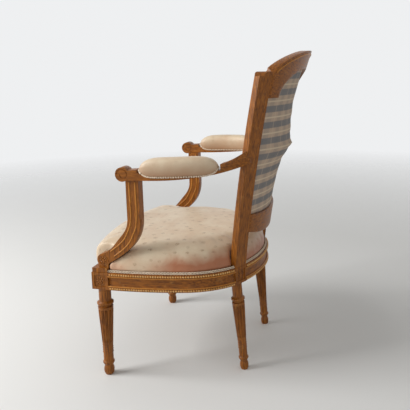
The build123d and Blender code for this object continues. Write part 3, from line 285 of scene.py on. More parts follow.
def sprig_group():
    """Small scattered woven sprigs: ragged leaves, some of them worn away."""
    tree, given, result = group("sprigs", [("Place", PLACE), ("Per metre", VALUE)], [("Mask", VALUE)])
    wander = put(tree, "TexNoise", {"Vector": given["Place"], "Scale": 240.0, "Detail": 2.0})
    reach = (0.011, 0.011, 0.0)
    shift = put(tree, "VectorMath", {0: wander.outputs["Color"], 1: reach}, operation="MULTIPLY")
    place = put(tree, "VectorMath", {0: given["Place"], 1: shift.outputs[0]}, operation="ADD")
    inputs = {"Vector": place.outputs[0], "Scale": given["Per metre"], "Randomness": 0.6}
    cells = put(tree, "TexVoronoi", inputs, voronoi_dimensions="2D")
    leaf = fade(tree, cells.outputs["Distance"], 0.20, 0.12)
    whole = fade(tree, noise(tree, given["Place"], 300.0, 2.0), 0.34, 0.52)
    kept = fade(tree, noise(tree, given["Place"], 15.0, 2.0), 0.36, 0.6)
    feed(tree, result, {"Mask": times(tree, leaf, times(tree, whole, kept))})


def plaid_group():
    """Woven plaid: broad bands across, fainter ones upright, cream lines between."""
    sockets = [("Place", PLACE), ("Per metre", VALUE), ("Ground", COLOR), ("Band", COLOR), ("Line", COLOR)]
    tree, given, result = group("plaid", sockets, [("Color", COLOR)])
    split = put(tree, "SeparateXYZ", {0: given["Place"]}).outputs

    def bands(axis, strength):
        share = calc(tree, "FRACT", times(tree, split[axis], given["Per metre"]))
        dark = times(tree, fade(tree, share, 0.04, 0.09), fade(tree, share, 0.49, 0.44))
        line = times(tree, fade(tree, share, 0.68, 0.71), fade(tree, share, 0.80, 0.77))
        return times(tree, dark, strength), times(tree, line, strength)

    across, across_line = bands("Z", 0.85)
    upright, upright_line = bands("X", 0.24)
    tone = mix(tree, across, given["Ground"], given["Band"])
    tone = mix(tree, upright, tone, given["Band"])
    tone = mix(tree, across_line, tone, given["Line"])
    feed(tree, result, {"Color": mix(tree, upright_line, tone, given["Line"])})


def material(name):
    """A new material: its tree, its shader and its object coordinates."""
    made = bpy.data.materials.new(name)
    made.use_nodes = True
    tree = made.node_tree
    return tree, tree.nodes["Principled BSDF"], put(tree, "TexCoord", {}).outputs["Object"]


def surface(tree, shader, relief, inputs):
    """Feeds a shader, with a relief given as its height, strength and distance."""
    bump = put(tree, "Bump", dict(zip(("Height", "Strength", "Distance"), relief)))
    feed(tree, shader, inputs | {"Normal": bump.outputs[0]})


def effect(tree, name, given):
    return put(tree, "Group", given, node_tree=bpy.data.node_groups[name])


def wood(name, stretch, light, dark, worn):
    """Waxed wood with its grain along the axis that is stretched least."""
    tree, shader, place = material(name)
    along = put(tree, "Mapping", {"Vector": place, "Scale": stretch}).outputs[0]
    given = {"Along": along, "Place": place, "Light": light, "Dark": dark, "Worn": worn}
    grain = effect(tree, "wood_grain", given).outputs
    looks = {"Base Color": grain["Color"], "Roughness": grain["Roughness"], "Specular IOR Level": 0.25}
    looks |= {"Coat Weight": 0.06, "Coat Roughness": 0.25}
    surface(tree, shader, (grain["Height"], 0.25, 0.0006), looks)


def satin(name):
    """Cream satin with woven sprigs, soft creases, painted shade low on the arm pads and low on the seat's
    front, and rust stains low on the seat's sides.
    """
    sizes = bpy.context.scene.armchair_sizes
    colours = bpy.context.scene.armchair_colours
    tree, shader, place = material(name)
    flat = put(tree, "UVMap", {}, uv_map="flat").outputs[0]
    sprigs = effect(tree, "sprigs", {"Place": flat, "Per metre": 1 / sizes.sprig_cell}).outputs[0]
    weave = effect(tree, "weave", {"Place": flat, "Count": 700.0}).outputs[0]
    mottle = noise(tree, place, 16.0, 5.0, 0.4)
    ground = mix(tree, fade(tree, mottle, 0.35, 0.75), colours.satin, colours.satin_worn)
    x, y, z = put(tree, "SeparateXYZ", {0: place}).outputs
    on_arm = fade(tree, calc(tree, "ABSOLUTE", x), *arm_side_x)
    on_arm = times(tree, on_arm, fade(tree, z, *arm_side_z))
    shown = times(tree, sprigs, times(tree, on_arm, -0.5, 0.75))
    tone = mix(tree, shown, ground, colours.sprig)
    # Painted shade: the arm pads turn brown below a height, darkest at their lower edge
    pad_shaded = fade(tree, z, *(pad_front_z + height for height in pad_shade_height))
    tone = mix(tree, times(tree, pad_shaded, on_arm), tone, colours.pad_shade)
    wander = times(tree, noise(tree, place, 13.0, 4.0, 1.0), 0.06, -0.03)
    stain_and_shade_z = calc(tree, "ADD", z, wander)
    # A rust stain low on the seat's sides, and painted shade low on the seat's front
    for heights, along, strength, stain in (
        (front_shade_height, front_shade_along, 0.8, colours.front_shade),
        (rust_height, rust_along, 0.9, colours.stain),
    ):
        low = fade(tree, stain_and_shade_z, *(rail_top + height for height in heights))
        stain_and_shade_mask = times(tree, low, fade(tree, y, *along))
        tone = mix(tree, times(tree, stain_and_shade_mask, strength), tone, stain)
    creases = times(tree, noise(tree, place, 34.0, 3.0, 1.2), 3.0)
    looks = {"Base Color": tone, "Roughness": times(tree, mottle, 0.2, 0.36)}
    looks |= {"Sheen Weight": 0.25, "Sheen Roughness": 0.4}
    surface(tree, shader, (times(tree, weave, 0.05, creases), 0.22, 0.0016), looks)


def plaid(name):
    sizes = bpy.context.scene.armchair_sizes
    colours = bpy.context.scene.armchair_colours
    tree, shader, place = material(name)
    given = {"Place": place, "Per metre": 1 / sizes.plaid_repeat}
    given |= {"Ground": colours.plaid_ground, "Band": colours.plaid_band, "Line": colours.plaid_line}
    cloth = effect(tree, "plaid", given)
    fuzz = noise(tree, place, 420.0, 2.0)
    faded = mix(tree, times(tree, fuzz, 0.35), cloth.outputs[0], colours.plaid_ground)
    looks = {"Base Color": faded, "Roughness": times(tree, fuzz, 0.1, 0.82)}
    surface(tree, shader, (fuzz, 0.3, 0.0006), looks)


def coarse_cloth(name, tone, count, depth):
    """Coarse woven thread, for braid, webbing and burlap."""
    tree, shader, place = material(name)
    weave = effect(tree, "weave", {"Place": place, "Count": count})
    fray = noise(tree, place, 160.0, 4.0)
    dark = tuple(v * depth for v in tone)
    woven = mix(tree, fade(tree, fray, 0.3, 0.6), dark, tuple(tone))
    looks = {"Base Color": woven, "Roughness": times(tree, fray, 0.15, 0.8)}
    surface(tree, shader, (calc(tree, "ADD", weave.outputs[0], fray), 0.5, 0.0008), looks)


# Places on the chair
def back_face_y(z):
    """Rear face of the hollow back on the middle line."""
    rise = z - rail_top
    reach = back_height - rail_top
    bend = (back_top_y - back_base_y - back_base_slope * reach) / reach**2
    return back_base_y + back_base_slope * rise + bend * rise**2


def on_back(x, z, depth):
    """Point of the hollow back at x and z, at a depth from its rear face."""
    radius = back_radius - depth
    return Vector((x, back_face_y(z) - back_radius + sqrt(radius**2 - x**2), z))


def stile_place(z):
    """Outer edge of a stile at a height, and its turn about the upright."""
    share = (z - rail_top) / (ear_z - rail_top)
    half = back_base_half_width + back_flare * (share + share**2) / 2
    return half, asin((half - stile_axis * stile_width) / back_radius)


def stile_inner_x(z, depth):
    """Inner edge of a stile at a depth from its rear face."""
    half, turn = stile_place(z)
    return half - stile_width * cos(turn) - depth * sin(turn)


crest_half_span = stile_inner_x(ear_z, 0) + crest_run_on


def crest_edge(start, steps, drop, depth, narrow=1.0):
    """Points below the crest's arch, from a share of its half turn to as far from the other end."""
    points = []
    for step in range(steps + 1):
        angle = pi * (start + (1 - 2 * start) * step / steps)
        z = ear_z + (back_height - ear_z) * sin(angle) - drop
        points.append(on_back(crest_half_span * cos(angle) * narrow, z, depth))
    return points


rear_turn = asin(rear_die_x / back_radius)
rear_out = Vector((sin(rear_turn), cos(rear_turn), 0))
rear_side = Vector((cos(rear_turn), -sin(rear_turn), 0))
rear_face = on_back(rear_die_x, rail_top, 0)
rear_corner = rear_face + rear_side * (rear_die_width / 2)
rear_inner_corner = rear_face - rear_side * (rear_die_width / 2)


def arc(start, middle, end, pitch):
    """Points evenly spaced along the arc through three points of the plan."""
    (ax, ay), (bx, by), (cx, cy) = start[:2], middle[:2], end[:2]
    twice = 2 * (ax * (by - cy) + bx * (cy - ay) + cx * (ay - by))
    a, b, c = ax**2 + ay**2, bx**2 + by**2, cx**2 + cy**2
    x = (a * (by - cy) + b * (cy - ay) + c * (ay - by)) / twice
    y = (a * (cx - bx) + b * (ax - cx) + c * (bx - ax)) / twice
    radius = hypot(ax - x, ay - y)
    first = atan2(ay - y, ax - x)
    sweep = (atan2(cy - y, cx - x) - first) % tau
    if (atan2(by - y, bx - x) - first) % tau > sweep:
        sweep -= tau
    steps = max(1, round(abs(sweep) * radius / pitch))
    angles = [first + sweep * step / steps for step in range(steps + 1)]
    return [Vector((x + radius * cos(t), y + radius * sin(t))) for t in angles]


def mirrored(points):
    return [Vector((-p[0], *p[1:])) for p in points]


def rail_rows(inset, pitch):
    """Rows of plan points along the front, both sides and the rear of the seat, drawn in by an inset."""
    front_y = die_front_y + inset
    front = arc((-die_inner_x, front_y), (0, front_apex_y + inset), (die_inner_x, front_y), pitch)
    run = Vector((-inset, 0))
    quarter = Vector((-0.85, -0.53)) * inset
    start = Vector((die_outer_x, die_back_y)) + run
    side = arc(start, side_swell + run, side_bend + run, pitch)
    corner = (rear_corner - rear_out * inset).to_2d()
    side += arc(side_bend + run, quarter_swell + quarter, corner, pitch)[1:]
    inner = (rear_inner_corner - rear_out * inset).to_2d()
    rear = arc(inner, (0, back_base_y - inset), (-inner.x, inner.y), pitch)
    return [front, side, mirrored(side), rear]


# Modelling
merge_distance = 1e-5
cloth_frames = 20


def clear_selection():
    if bpy.context.object and bpy.context.object.mode != "OBJECT":
        bpy.ops.object.mode_set(mode="OBJECT")
    bpy.ops.object.select_all(action="DESELECT")


def select(*pieces):
    """Selects these pieces alone; the first of them is the active one."""
    clear_selection()
    for piece in pieces:
        piece.select_set(True)
    bpy.context.view_layer.objects.active = pieces[0]


def join_pieces(pieces):
    select(*pieces)
    bpy.ops.object.join()
    return bpy.context.object


def settle(piece, name, finish):
    """Puts a finished piece's place into its mesh, gives it its finish and ties it to the chair."""
    select(piece)
    bpy.ops.object.transform_apply(location=True, rotation=True, scale=True)
    piece.name = name
    piece.data.name = name
    piece.data.materials.clear()
    piece.data.materials.append(bpy.data.materials[finish])
    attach(piece, "root")
    return piece


def repeat(pattern, places):
    """Copies of a pattern, each with its own mesh, joined into one piece; the pattern goes."""
    copies = []
    for place in places:
        copy = pattern.copy()
        copy.data = pattern.data.copy()
        copy.matrix_world = place
        bpy.context.scene.collection.objects.link(copy)
        copies.append(copy)
    bpy.data.objects.remove(pattern)
    return join_pieces(copies)


def add_modifier(piece, kind, **settings):
    modifier = piece.modifiers.new(kind.title(), kind)
    for key, value in settings.items():
        setattr(modifier, key, value)
    return modifier.name


def apply_modifier(piece, kind, **settings):
    select(piece)
    bpy.ops.object.modifier_apply(modifier=add_modifier(piece, kind, **settings))


def as_piece(name, shape):
    """A piece made from drawn faces."""
    mesh = bpy.data.meshes.new(name)
    shape.to_mesh(mesh)
    shape.free()
    piece = bpy.data.objects.new(name, mesh)
    bpy.context.scene.collection.objects.link(piece)
    return piece


def node_copy(node, name):
    """A copy of a node's mesh with its doubled corners merged, and the area of one side of it."""
    piece = bpy.data.objects.new(name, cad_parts[node].data.copy())
    bpy.context.scene.collection.objects.link(piece)
    shape = bmesh.new()
    shape.from_mesh(piece.data)
    bmesh.ops.remove_doubles(shape, verts=shape.verts, dist=merge_distance)
    area = sum(face.calc_area() for face in shape.faces) / 2
    shape.to_mesh(piece.data)
    shape.free()
    return piece, area


def soft_copy(node, voxel, smooth):
    """A node's solid as one closed skin of small even faces."""
    piece = node_copy(node, node + "_skin")[0]
    apply_modifier(piece, "REMESH", mode="VOXEL", voxel_size=voxel)
    apply_modifier(piece, "SMOOTH", factor=0.5, iterations=smooth)
    return piece


def stuff(piece, pressure, rise, is_held):
    """Swells a skin like packed stuffing, by a rise at most; held points stay where they are tacked."""
    start = [v.co.copy() for v in piece.data.vertices]
    tacked = piece.vertex_groups.new(name="tacked")
    tacked.add([v.index for v in piece.data.vertices if is_held(v.co)], 1.0, "REPLACE")
    cloth = piece.modifiers.new("Cloth", "CLOTH")
    cloth.settings.use_pressure = True
    cloth.settings.uniform_pressure_force = pressure
    cloth.settings.vertex_group_mass = "tacked"
    cloth.settings.effector_weights.gravity = 0
    cloth.point_cache.frame_start = 1
    cloth.point_cache.frame_end = cloth_frames
    for step in range(1, cloth_frames + 1):
        bpy.context.scene.frame_set(step)
    select(piece)
    bpy.ops.object.modifier_apply(modifier=cloth.name)
    bpy.context.scene.frame_set(1)
    for vertex, place in zip(piece.data.vertices, start):
        moved = vertex.co - place
        if moved.length > rise:
            vertex.co = place + moved.normalized() * rise


def lay_flat(piece, upright):
    """A UV map in metres that runs over the top and on down the sides, as the cloth was laid."""
    flat = piece.data.uv_layers.new(name="flat")
    top = max(v.co.z for v in piece.data.vertices)
    for loop in piece.data.loops:
        vertex = piece.data.vertices[loop.vertex_index]
        if upright:
            flat.data[loop.index].uv = (vertex.co.x, vertex.co.z)
        else:
            out = vertex.normal.to_2d()
            fall = (top - vertex.co.z) * out.length
            flat.data[loop.index].uv = vertex.co.to_2d() + out * fall


def smooth_faces(piece):
    select(piece)
    bpy.ops.object.shade_smooth()


def cover(piece, name, upright=False):
    """Finishes a stuffed skin as a piece covered with satin."""
    apply_modifier(piece, "SUBSURF", levels=1, render_levels=1)
    smooth_faces(piece)
    lay_flat(piece, upright)
    settle(piece, name, "satin_cloth")


def bridge(shape, rows):
    """Faces between neighbouring rows of corners."""
    for near, far in zip(rows, rows[1:]):
        for corners in zip(near, near[1:], far[1:], far):
            shape.faces.new(corners)


def lumps(name, points, size, tilt):
    """Braid: small lumps of thread, tilted one way and the other along a run of points."""
    shape = bmesh.new()
    for index, point in enumerate(points):
        ahead = (points[(index + 1) % len(points)] - points[index - 1]).normalized()
        turn = ahead.to_track_quat("X", "Z").to_matrix().to_4x4()
        lean = Matrix.Rotation(tilt if index % 2 else -tilt, 4, "Y")
        place = Matrix.Translation(point) @ turn @ lean @ Matrix.Diagonal((*size, 1))
        bmesh.ops.create_icosphere(shape, subdivisions=1, radius=1.0, matrix=place)
    piece = as_piece(name, shape)
    smooth_faces(piece)
    return piece


class ARMCHAIR_OT_finishes(bpy.types.Operator):
    """Makes the shared effects and the finishes of wood and cloth"""

    bl_idname = "armchair.finishes"
    bl_label = "Finishes"

    def execute(self, context):
        grain_group()
        weave_group()
        sprig_group()
        plaid_group()
        colours = context.scene.armchair_colours
        tones = colours.wood_light, colours.wood_dark, colours.wood_worn
        wood("wood_upright", (60, 60, 7), *tones)
        wood("wood_lengthwise", (60, 7, 60), *tones)
        wood("wood_across", (7, 60, 60), *tones)
        # Reeds: paler wood for rubbed wear and a painted highlight
        wood("wood_edge_wear_and_highlight", (60, 60, 20), colours.wood_edge_wear_and_highlight, colours.wood_light, colours.wood_worn)
        # Beads: paler wood for rubbed wear and a painted highlight
        wood("wood_beads_wear_and_highlight", (60, 60, 20), colours.wood_bead_wear_and_highlight, colours.wood_edge_wear_and_highlight, colours.wood_worn)
        bare = colours.wood_bare
        wood("wood_bare", (60, 60, 10), bare, tuple(v * 0.7 for v in bare), bare)
        satin("satin_cloth")
        plaid("plaid_cloth")
        coarse_cloth("braid_thread", colours.braid, 420.0, 0.72)
        coarse_cloth("jute_thread", colours.jute, 320.0, 0.55)
        return {"FINISHED"}


class ARMCHAIR_OT_frame(bpy.types.Operator):
    """Waxes the wooden frame and eases its edges"""

    bl_idname = "armchair.frame"
    bl_label = "Wooden frame"

    def execute(self, context):
        sizes = context.scene.armchair_sizes
        for node in wood_nodes + inner_wood_nodes:
            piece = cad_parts[node]
            grain = "upright"
            if "left_seat" in node or "right_seat" in node or node.endswith("_arm"):
                grain = "lengthwise"
            if node in (seat_rails[0], seat_rails[3], *back_rails):
                grain = "across"
            if node in inner_wood_nodes:
                grain = "bare"
            for slot in piece.material_slots:
                slot.material = bpy.data.materials["wood_" + grain]
            if node in bevelled_nodes:
                add_modifier(piece, "WELD", merge_threshold=merge_distance)
                width = sizes.crest_round if node == "crest_rail" else sizes.edge_round
                bevel = {"limit_method": "ANGLE", "angle_limit": radians(38), "harden_normals": True}
                add_modifier(piece, "BEVEL", width=width, segments=2, **bevel)
        return {"FINISHED"}


class ARMCHAIR_OT_beads(bpy.types.Operator):
    """Carves the rows of beads along the seat rails and the crest"""

    bl_idname = "armchair.beads"
    bl_label = "Beads"

    def execute(self, context):
        sizes = context.scene.armchair_sizes
        lip = 0.0045
        places = []
        for row in rail_rows(0.0, sizes.bead_pitch):
            for point in row[1:-1]:
                places += [Vector((*point, rail_top - lip)), Vector((*point, rail_bottom + lip))]
        steps = round(1.2 * pi * crest_half_span / 2 / sizes.bead_pitch)
        places += crest_edge(0.14, steps, crest_bead_drop, back_thickness)
        clear_selection()
        bpy.ops.mesh.primitive_uv_sphere_add(segments=8, ring_count=6, radius=sizes.bead_radius)
        bead = context.object
        bpy.ops.object.mode_set(mode="EDIT")
        bpy.ops.mesh.select_all(action="SELECT")
        bpy.ops.transform.resize(value=(1, 1, 0.92))
        bpy.ops.object.mode_set(mode="OBJECT")
        beads = repeat(bead, [Matrix.Translation(place) for place in places])
        smooth_faces(beads)
        # Paler wood: rubbed wear and painted highlight
        settle(beads, "carved_beads", "wood_beads_wear_and_highlight")
        return {"FINISHED"}


class ARMCHAIR_OT_rosettes(bpy.types.Operator):
    """Carves the rosettes on the blocks and on the rolls of the arm supports"""

    bl_idname = "armchair.rosettes"
    bl_label = "Rosettes"

    def execute(self, context):
        radius = context.scene.armchair_sizes.rosette_radius
        sunk = 0.0025
        clear_selection()
        bpy.ops.mesh.primitive_cylinder_add(vertices=24, radius=radius, depth=0.002, location=(0, 0, 0))
        dish = context.object
        bpy.ops.object.mode_set(mode="EDIT")
        bpy.ops.mesh.select_mode(type="FACE")
        bpy.ops.mesh.select_all(action="DESELECT")
        face_up = bmesh.from_edit_mesh(dish.data)
        for face in face_up.faces:
            face.select_set(face.normal.z > 0.9)
        bmesh.update_edit_mesh(dish.data)
        bpy.ops.mesh.inset(thickness=radius * 0.14)
        bpy.ops.mesh.extrude_region_move(TRANSFORM_OT_translate={"value": (0, 0, -0.0012)})
        bpy.ops.mesh.inset(thickness=radius * 0.56)
        bpy.ops.mesh.extrude_region_move(TRANSFORM_OT_translate={"value": (0, 0, 0.0022)})
        bpy.ops.mesh.inset(thickness=radius * 0.1)
        bpy.ops.object.mode_set(mode="OBJECT")
        petals = []
        for index in range(8):
            clear_selection()
            bpy.ops.mesh.primitive_uv_sphere_add(segments=8, ring_count=6, radius=1)
            petal = context.object
            angle = tau * index / 8
            place = Matrix.Rotation(angle, 4, "Z") @ Matrix.Translation((radius * 0.55, 0, 0.0004))
            petal.matrix_world = place @ Matrix.Diagonal((radius * 0.3, radius * 0.17, 0.0016, 1))
            petals.append(petal)
        rosette = join_pieces([dish] + petals)
        bpy.ops.object.transform_apply(location=True, rotation=True, scale=True)
        middle_z = (rail_top + rail_bottom) / 2
        spots = []
        for side in (1, -1):
            spots.append(((side * (die_outer_x - sunk), die_y, middle_z), (side, 0, 0)))
            spots.append(((side * die_x, die_front_y + sunk, middle_z), (0, -1, 0)))
            rear = rear_face - rear_out * sunk
            spots.append(((side * rear.x, rear.y, middle_z), (side * rear_out.x, rear_out.y, 0)))
            for face in (1, -1):
                x = side * support_x + face * support_width / 2
                spots.append(((x, roll_y, roll_z), (face, 0, 0)))
        places = []
        for spot, facing in spots:
            turn = Vector(facing).to_track_quat("Z", "Y").to_matrix().to_4x4()
            places.append(Matrix.Translation(spot) @ turn)
        rosettes = repeat(rosette, places)
        bpy.ops.object.shade_smooth_by_angle(angle=radians(40))
        settle(rosettes, "carved_rosettes", "wood_upright")
        return {"FINISHED"}


class ARMCHAIR_OT_flute_rods(bpy.types.Operator):
    """Carves the rods that fill the upper part of the legs' flutes"""

    bl_idname = "armchair.flute_rods"
    bl_label = "Flute rods"

    def execute(self, context):
        radius = context.scene.armchair_sizes.rod_radius
        rod_length = rod_high_z - rod_low_z
        clear_selection()
        bpy.ops.mesh.primitive_cylinder_add(vertices=8, radius=radius, depth=rod_length)
        rod = context.object
        bpy.ops.object.mode_set(mode="EDIT")
        bpy.ops.mesh.select_all(action="SELECT")
        bpy.ops.mesh.bevel(offset=radius * 0.6, segments=2)
        bpy.ops.object.mode_set(mode="OBJECT")
        taper = (shaft_high[1] - shaft_low[1]) / (shaft_high[0] - shaft_low[0])
        middle_z = (rod_low_z + rod_high_z) / 2
        reach = shaft_low[1] + taper * (middle_z - shaft_low[0]) - radius * 0.9
        foot = rear_face - rear_out * rear_leg_inset
        lean = Matrix.Rotation(atan2(rear_lean, rail_bottom), 4, "X")
        legs = []
        for side in (1, -1):
            legs.append((Matrix.Translation((side * die_x, die_y, 0)), 1.0))
            legs.append((Matrix.Translation((side * foot.x, foot.y + rear_lean, 0)) @ lean, rear_slimness))
        places = []
        for leg, slim in legs:
            for index in range(flute_count):
                turn = Matrix.Rotation(tau * index / flute_count, 4, "Z")
                tilt = Matrix.Rotation(atan(taper), 4, "Y")
                slimmed = Matrix.Diagonal((slim, slim, 1, 1))
                spot = Matrix.Translation((reach * slim, 0, middle_z))
                places.append(leg @ turn @ spot @ tilt @ slimmed)
        rods = repeat(rod, places)
        bpy.ops.object.shade_smooth_by_angle(angle=radians(50))
        settle(rods, "flute_rods", "wood_upright")
        return {"FINISHED"}


def stile_side(z, depth):
    """Point of the left stile's outer side at a depth from its rear face."""
    turn = stile_place(z)[1]
    axis = Vector((sin(turn), cos(turn))) * (back_radius - depth)
    side = Vector((cos(turn), -sin(turn))) * (stile_axis * stile_width)
    return Vector((axis.x + side.x, back_face_y(z) - back_radius + axis.y + side.y, z))


# Middle line of an arm support, as y and z
support_line = ((-0.137, 0.585), (-0.137, 0.48), (-0.150, 0.437), (-0.170, 0.406), (-0.215, 0.370))


def support_edge(offset, x):
    """Points beside a support's middle line, eased between its knees."""
    knees = [Vector(point) for point in support_line]
    knees = [2 * knees[0] - knees[1]] + knees + [2 * knees[-1] - knees[-2]]
    points = []
    for before, start, end, after in zip(knees, knees[1:], knees[2:], knees[3:]):
        for step in range(6):
            t = step / 6
            spot = start + (end - before) * (t / 2) + (2 * before - 5 * start + 4 * end - after) * (t * t / 2)
            spot += (3 * start - before - 3 * end + after) * (t**3 / 2)
            way = (end - start).normalized()
            points.append(Vector((x, spot.x - way.y * offset, spot.y + way.x * offset)))
    return points


def reed(points, radius):
    """A round reed along a run of points."""
    clear_selection()
    bpy.ops.curve.primitive_nurbs_path_add()
    run = bpy.context.object
    run.data.splines.clear()
    line = run.data.splines.new("POLY")
    line.points.add(len(points) - 1)
    for knot, point in zip(line.points, points):
        knot.co = (*point, 1)
    run.data.bevel_depth = radius
    run.data.bevel_resolution = 1
    run.data.use_fill_caps = True
    bpy.ops.object.convert(target="MESH")
    return bpy.context.object


reed_drop = 0.0105  # from a rail's edge to its reed
reed_sink = 0.0008
reed_pitch = 0.012
crest_reed_drop = 0.0095
crest_reed_narrowing = 0.985
stile_reed_inset = 0.005
stile_reed_runs = ((0.385, 0.560), (0.675, 0.846))  # below and above the arm
support_reed_offset = 0.0088


class ARMCHAIR_OT_reeds(bpy.types.Operator):
    """Carves the reeds along the rails, the crest, the stiles and the arm supports"""

    bl_idname = "armchair.reeds"
    bl_label = "Reeds"

    def execute(self, context):
        radius = context.scene.armchair_sizes.reed_radius
        runs = []
        for row in rail_rows(reed_sink, reed_pitch):
            for z in (rail_top - reed_drop, rail_bottom + reed_drop):
                runs.append([Vector((*point, z)) for point in row])
        for depth in (0.0, back_thickness):
            runs.append(crest_edge(0.1, 40, crest_reed_drop, depth, crest_reed_narrowing))
        sides = []
        for depth in (stile_reed_inset, back_thickness - stile_reed_inset):
            for low, high in stile_reed_runs:
                sides.append([stile_side(low + (high - low) * step / 12, depth) for step in range(13)])
        for face in (-1, 1):
            for offset in (-support_reed_offset, support_reed_offset):
                sides.append(support_edge(offset, support_x + face * (support_width / 2 - 0.0004)))
        runs += sides + [mirrored(side) for side in sides]
        reeds = join_pieces([reed(points, radius) for points in runs])
        smooth_faces(reeds)
        # Paler wood: rubbed wear and painted highlight
        settle(reeds, "carved_reeds", "wood_edge_wear_and_highlight")
        return {"FINISHED"}


# Stuffed seat: heights are above the rail
skin_voxel = 0.006
crown_z = 0.066  # the seat's top is smoothed further from here
tack_z = 0.011
foot_gap = 0.0008  # between the cloth's lower edge and the rail
foot_reach = 0.02
corner_x, corner_y = 0.215, -0.250
corner_width, corner_depth = 0.055, 0.06
swell_start_y, swell_run = -0.19, 0.09
belly_z = 0.095
lift_z, lift_run = 0.015, 0.03


def clamp(share):
    return min(1.0, max(0.0, share))


class ARMCHAIR_OT_seat(bpy.types.Operator):
    """Stuffs the seat and covers it with satin"""

    bl_idname = "armchair.seat"
    bl_label = "Seat"

    def execute(self, context):
        sizes = context.scene.armchair_sizes
        piece = soft_copy("seat_stuffing", skin_voxel, 6)
        crown = piece.vertex_groups.new(name="crown")
        crown.add([v.index for v in piece.data.vertices if v.co.z > rail_top + crown_z], 1.0, "REPLACE")
        apply_modifier(piece, "SMOOTH", factor=0.5, iterations=40, vertex_group="crown")
        stuff(piece, 4.0, sizes.seat_rise, lambda co: co.z < rail_top + tack_z)
        foot = min(v.co.z for v in piece.data.vertices)
        for vertex in piece.data.vertices:
            fall = (foot - rail_top - foot_gap) * min(1.0, 1.6 * vertex.normal.to_2d().length)
            vertex.co.z -= fall * max(0.0, 1 - (vertex.co.z - foot) / foot_reach)
        for vertex in piece.data.vertices:
            x, y, z = vertex.co
            corner = ((abs(x) - corner_x) / corner_width) ** 2 + ((y - corner_y) / corner_depth) ** 2
            near = clamp((swell_start_y - y) / swell_run)
            near = near * near * (3 - 2 * near)
            belly = sin(pi * clamp((z - rail_top) / belly_z))
            rise = sizes.corner_rise * exp(-corner) + 0.5 * sizes.front_swell * near
            vertex.co.z += rise * clamp((z - rail_top - lift_z) / lift_run)
            vertex.co.y -= sizes.front_swell * near * belly
        apply_modifier(piece, "SMOOTH", factor=0.5, iterations=3)
        cover(piece, "seat_cushion")
        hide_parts("seat_stuffing", "seat_cover")
        return {"FINISHED"}


# Arm pads: stuffed over the arm and tacked low on its sides
pad_half_width = 0.0222
pad_foot_half = 0.0176  # just clear of the arm's sides
pad_height = 0.041
pad_belly = 0.016
pad_skirt = 0.0135  # how far the cloth comes down the arm's sides
pad_pleats = 11
pleat_depth = 0.0011
pad_tip_half = 0.005
pad_tip_height = 0.010


def pad_line(share):
    """Place on the left arm's middle line at a share of the pad's length, and the way across the arm."""
    y = pad_front_y + share * (pad_back_y - pad_front_y)
    turn = asin(max(0.0, y - arm_straight_end_y) / arm_bend_radius)
    x = arm_x - arm_bend_radius * (1 - cos(turn))
    z = pad_front_z + pad_slope * (y - pad_front_y)
    return Vector((x, y, z)), Vector((cos(turn), sin(turn), 0))


def pad_shares(count):
    """Shares of the pad's length, closer together towards its ends."""
    return [(1 - cos(pi * step / count)) / 2 for step in range(count + 1)]


def pad_ends(share):
    """How near a place is to one of the pad's ends: 0 in the middle and 1 at either tip."""
    return abs(2 * share - 1)


def pad_swell(share):
    return max(0.0, 1 - pad_ends(share) ** 7) ** 0.45


def pad_foot(share):
    """Half width and height of the cloth's lower edge."""
    half = pad_tip_half + (pad_foot_half - pad_tip_half) * pad_swell(share)
    return half, -pad_skirt + (pad_skirt + 0.006) * pad_ends(share) ** 8


def pad_half_section(share, count):
    """Points across the pad from its lower edge up to the ridge, as distances out and up."""
    swell = pad_swell(share)
    foot, low = pad_foot(share)
    half = foot + (pad_half_width - pad_foot_half) * swell
    high = pad_tip_height + (pad_height - pad_tip_height) * max(0.0, 1 - pad_ends(share) ** 5) ** 0.6
    belly = low + (pad_belly - low) * (0.4 + 0.6 * swell)
    points = []
    for step in range(count):
        rise = step / (count - 1)
        if rise < 0.35:
            near = rise / 0.35
            out, up = foot + (half - foot) * sin(near * pi / 2), low + (belly - low) * near
        else:
            angle = (rise - 0.35) / 0.65 * pi / 2
            out, up = half * cos(angle) ** 0.75, belly + (high - belly) * sin(angle) ** 0.9
        pleat = sin(rise * pad_pleats * tau / 2) * pleat_depth * pad_ends(share) ** 4 * swell
        points.append((out + pleat, up))
    return points


class ARMCHAIR_OT_arm_pads(bpy.types.Operator):
    """Stuffs the arm pads and covers them with satin"""

    bl_idname = "armchair.arm_pads"
    bl_label = "Arm pads"

    def execute(self, context):
        rings, count = 48, 15
        for hand, side in zip(hands, (1, -1)):
            shape = bmesh.new()
            loops = []
            for share in pad_shares(rings):
                spot, across = pad_line(share)
                half = pad_half_section(share, count)
                section = [(out, up) for out, up in half] + [(-out, up) for out, up in half[-2::-1]]
                points = [spot + across * out + Vector((0, 0, up)) for out, up in section]
                loops.append([shape.verts.new((side * v.x, v.y, v.z)) for v in points])
            bridge(shape, [loop + loop[:1] for loop in loops])
            shape.faces.new(loops[0])
            shape.faces.new(loops[-1])
            bmesh.ops.recalc_face_normals(shape, faces=shape.faces)
            piece = as_piece(hand + "_arm_pad", shape)
            cover(piece, hand + "_arm_pad")
            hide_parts(hand + "_arm_pad_stuffing", hand + "_arm_pad_cover")
        return {"FINISHED"}


class ARMCHAIR_OT_inside_back(bpy.types.Operator):
    """Stuffs the inside of the back and covers it with satin"""

    bl_idname = "armchair.inside_back"
    bl_label = "Inside back"

    def execute(self, context):
        piece = soft_copy("back_stuffing", skin_voxel, 5)
        held_depth = back_thickness + 0.016
        stuff(
            piece,
            4.0,
            context.scene.armchair_sizes.pad_rise,
            lambda co: co.y > on_back(min(0.3, abs(co.x)), co.z, held_depth).y,
        )
        cover(piece, "inside_back", upright=True)
        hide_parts("back_stuffing", "inside_back_cover")
        return {"FINISHED"}


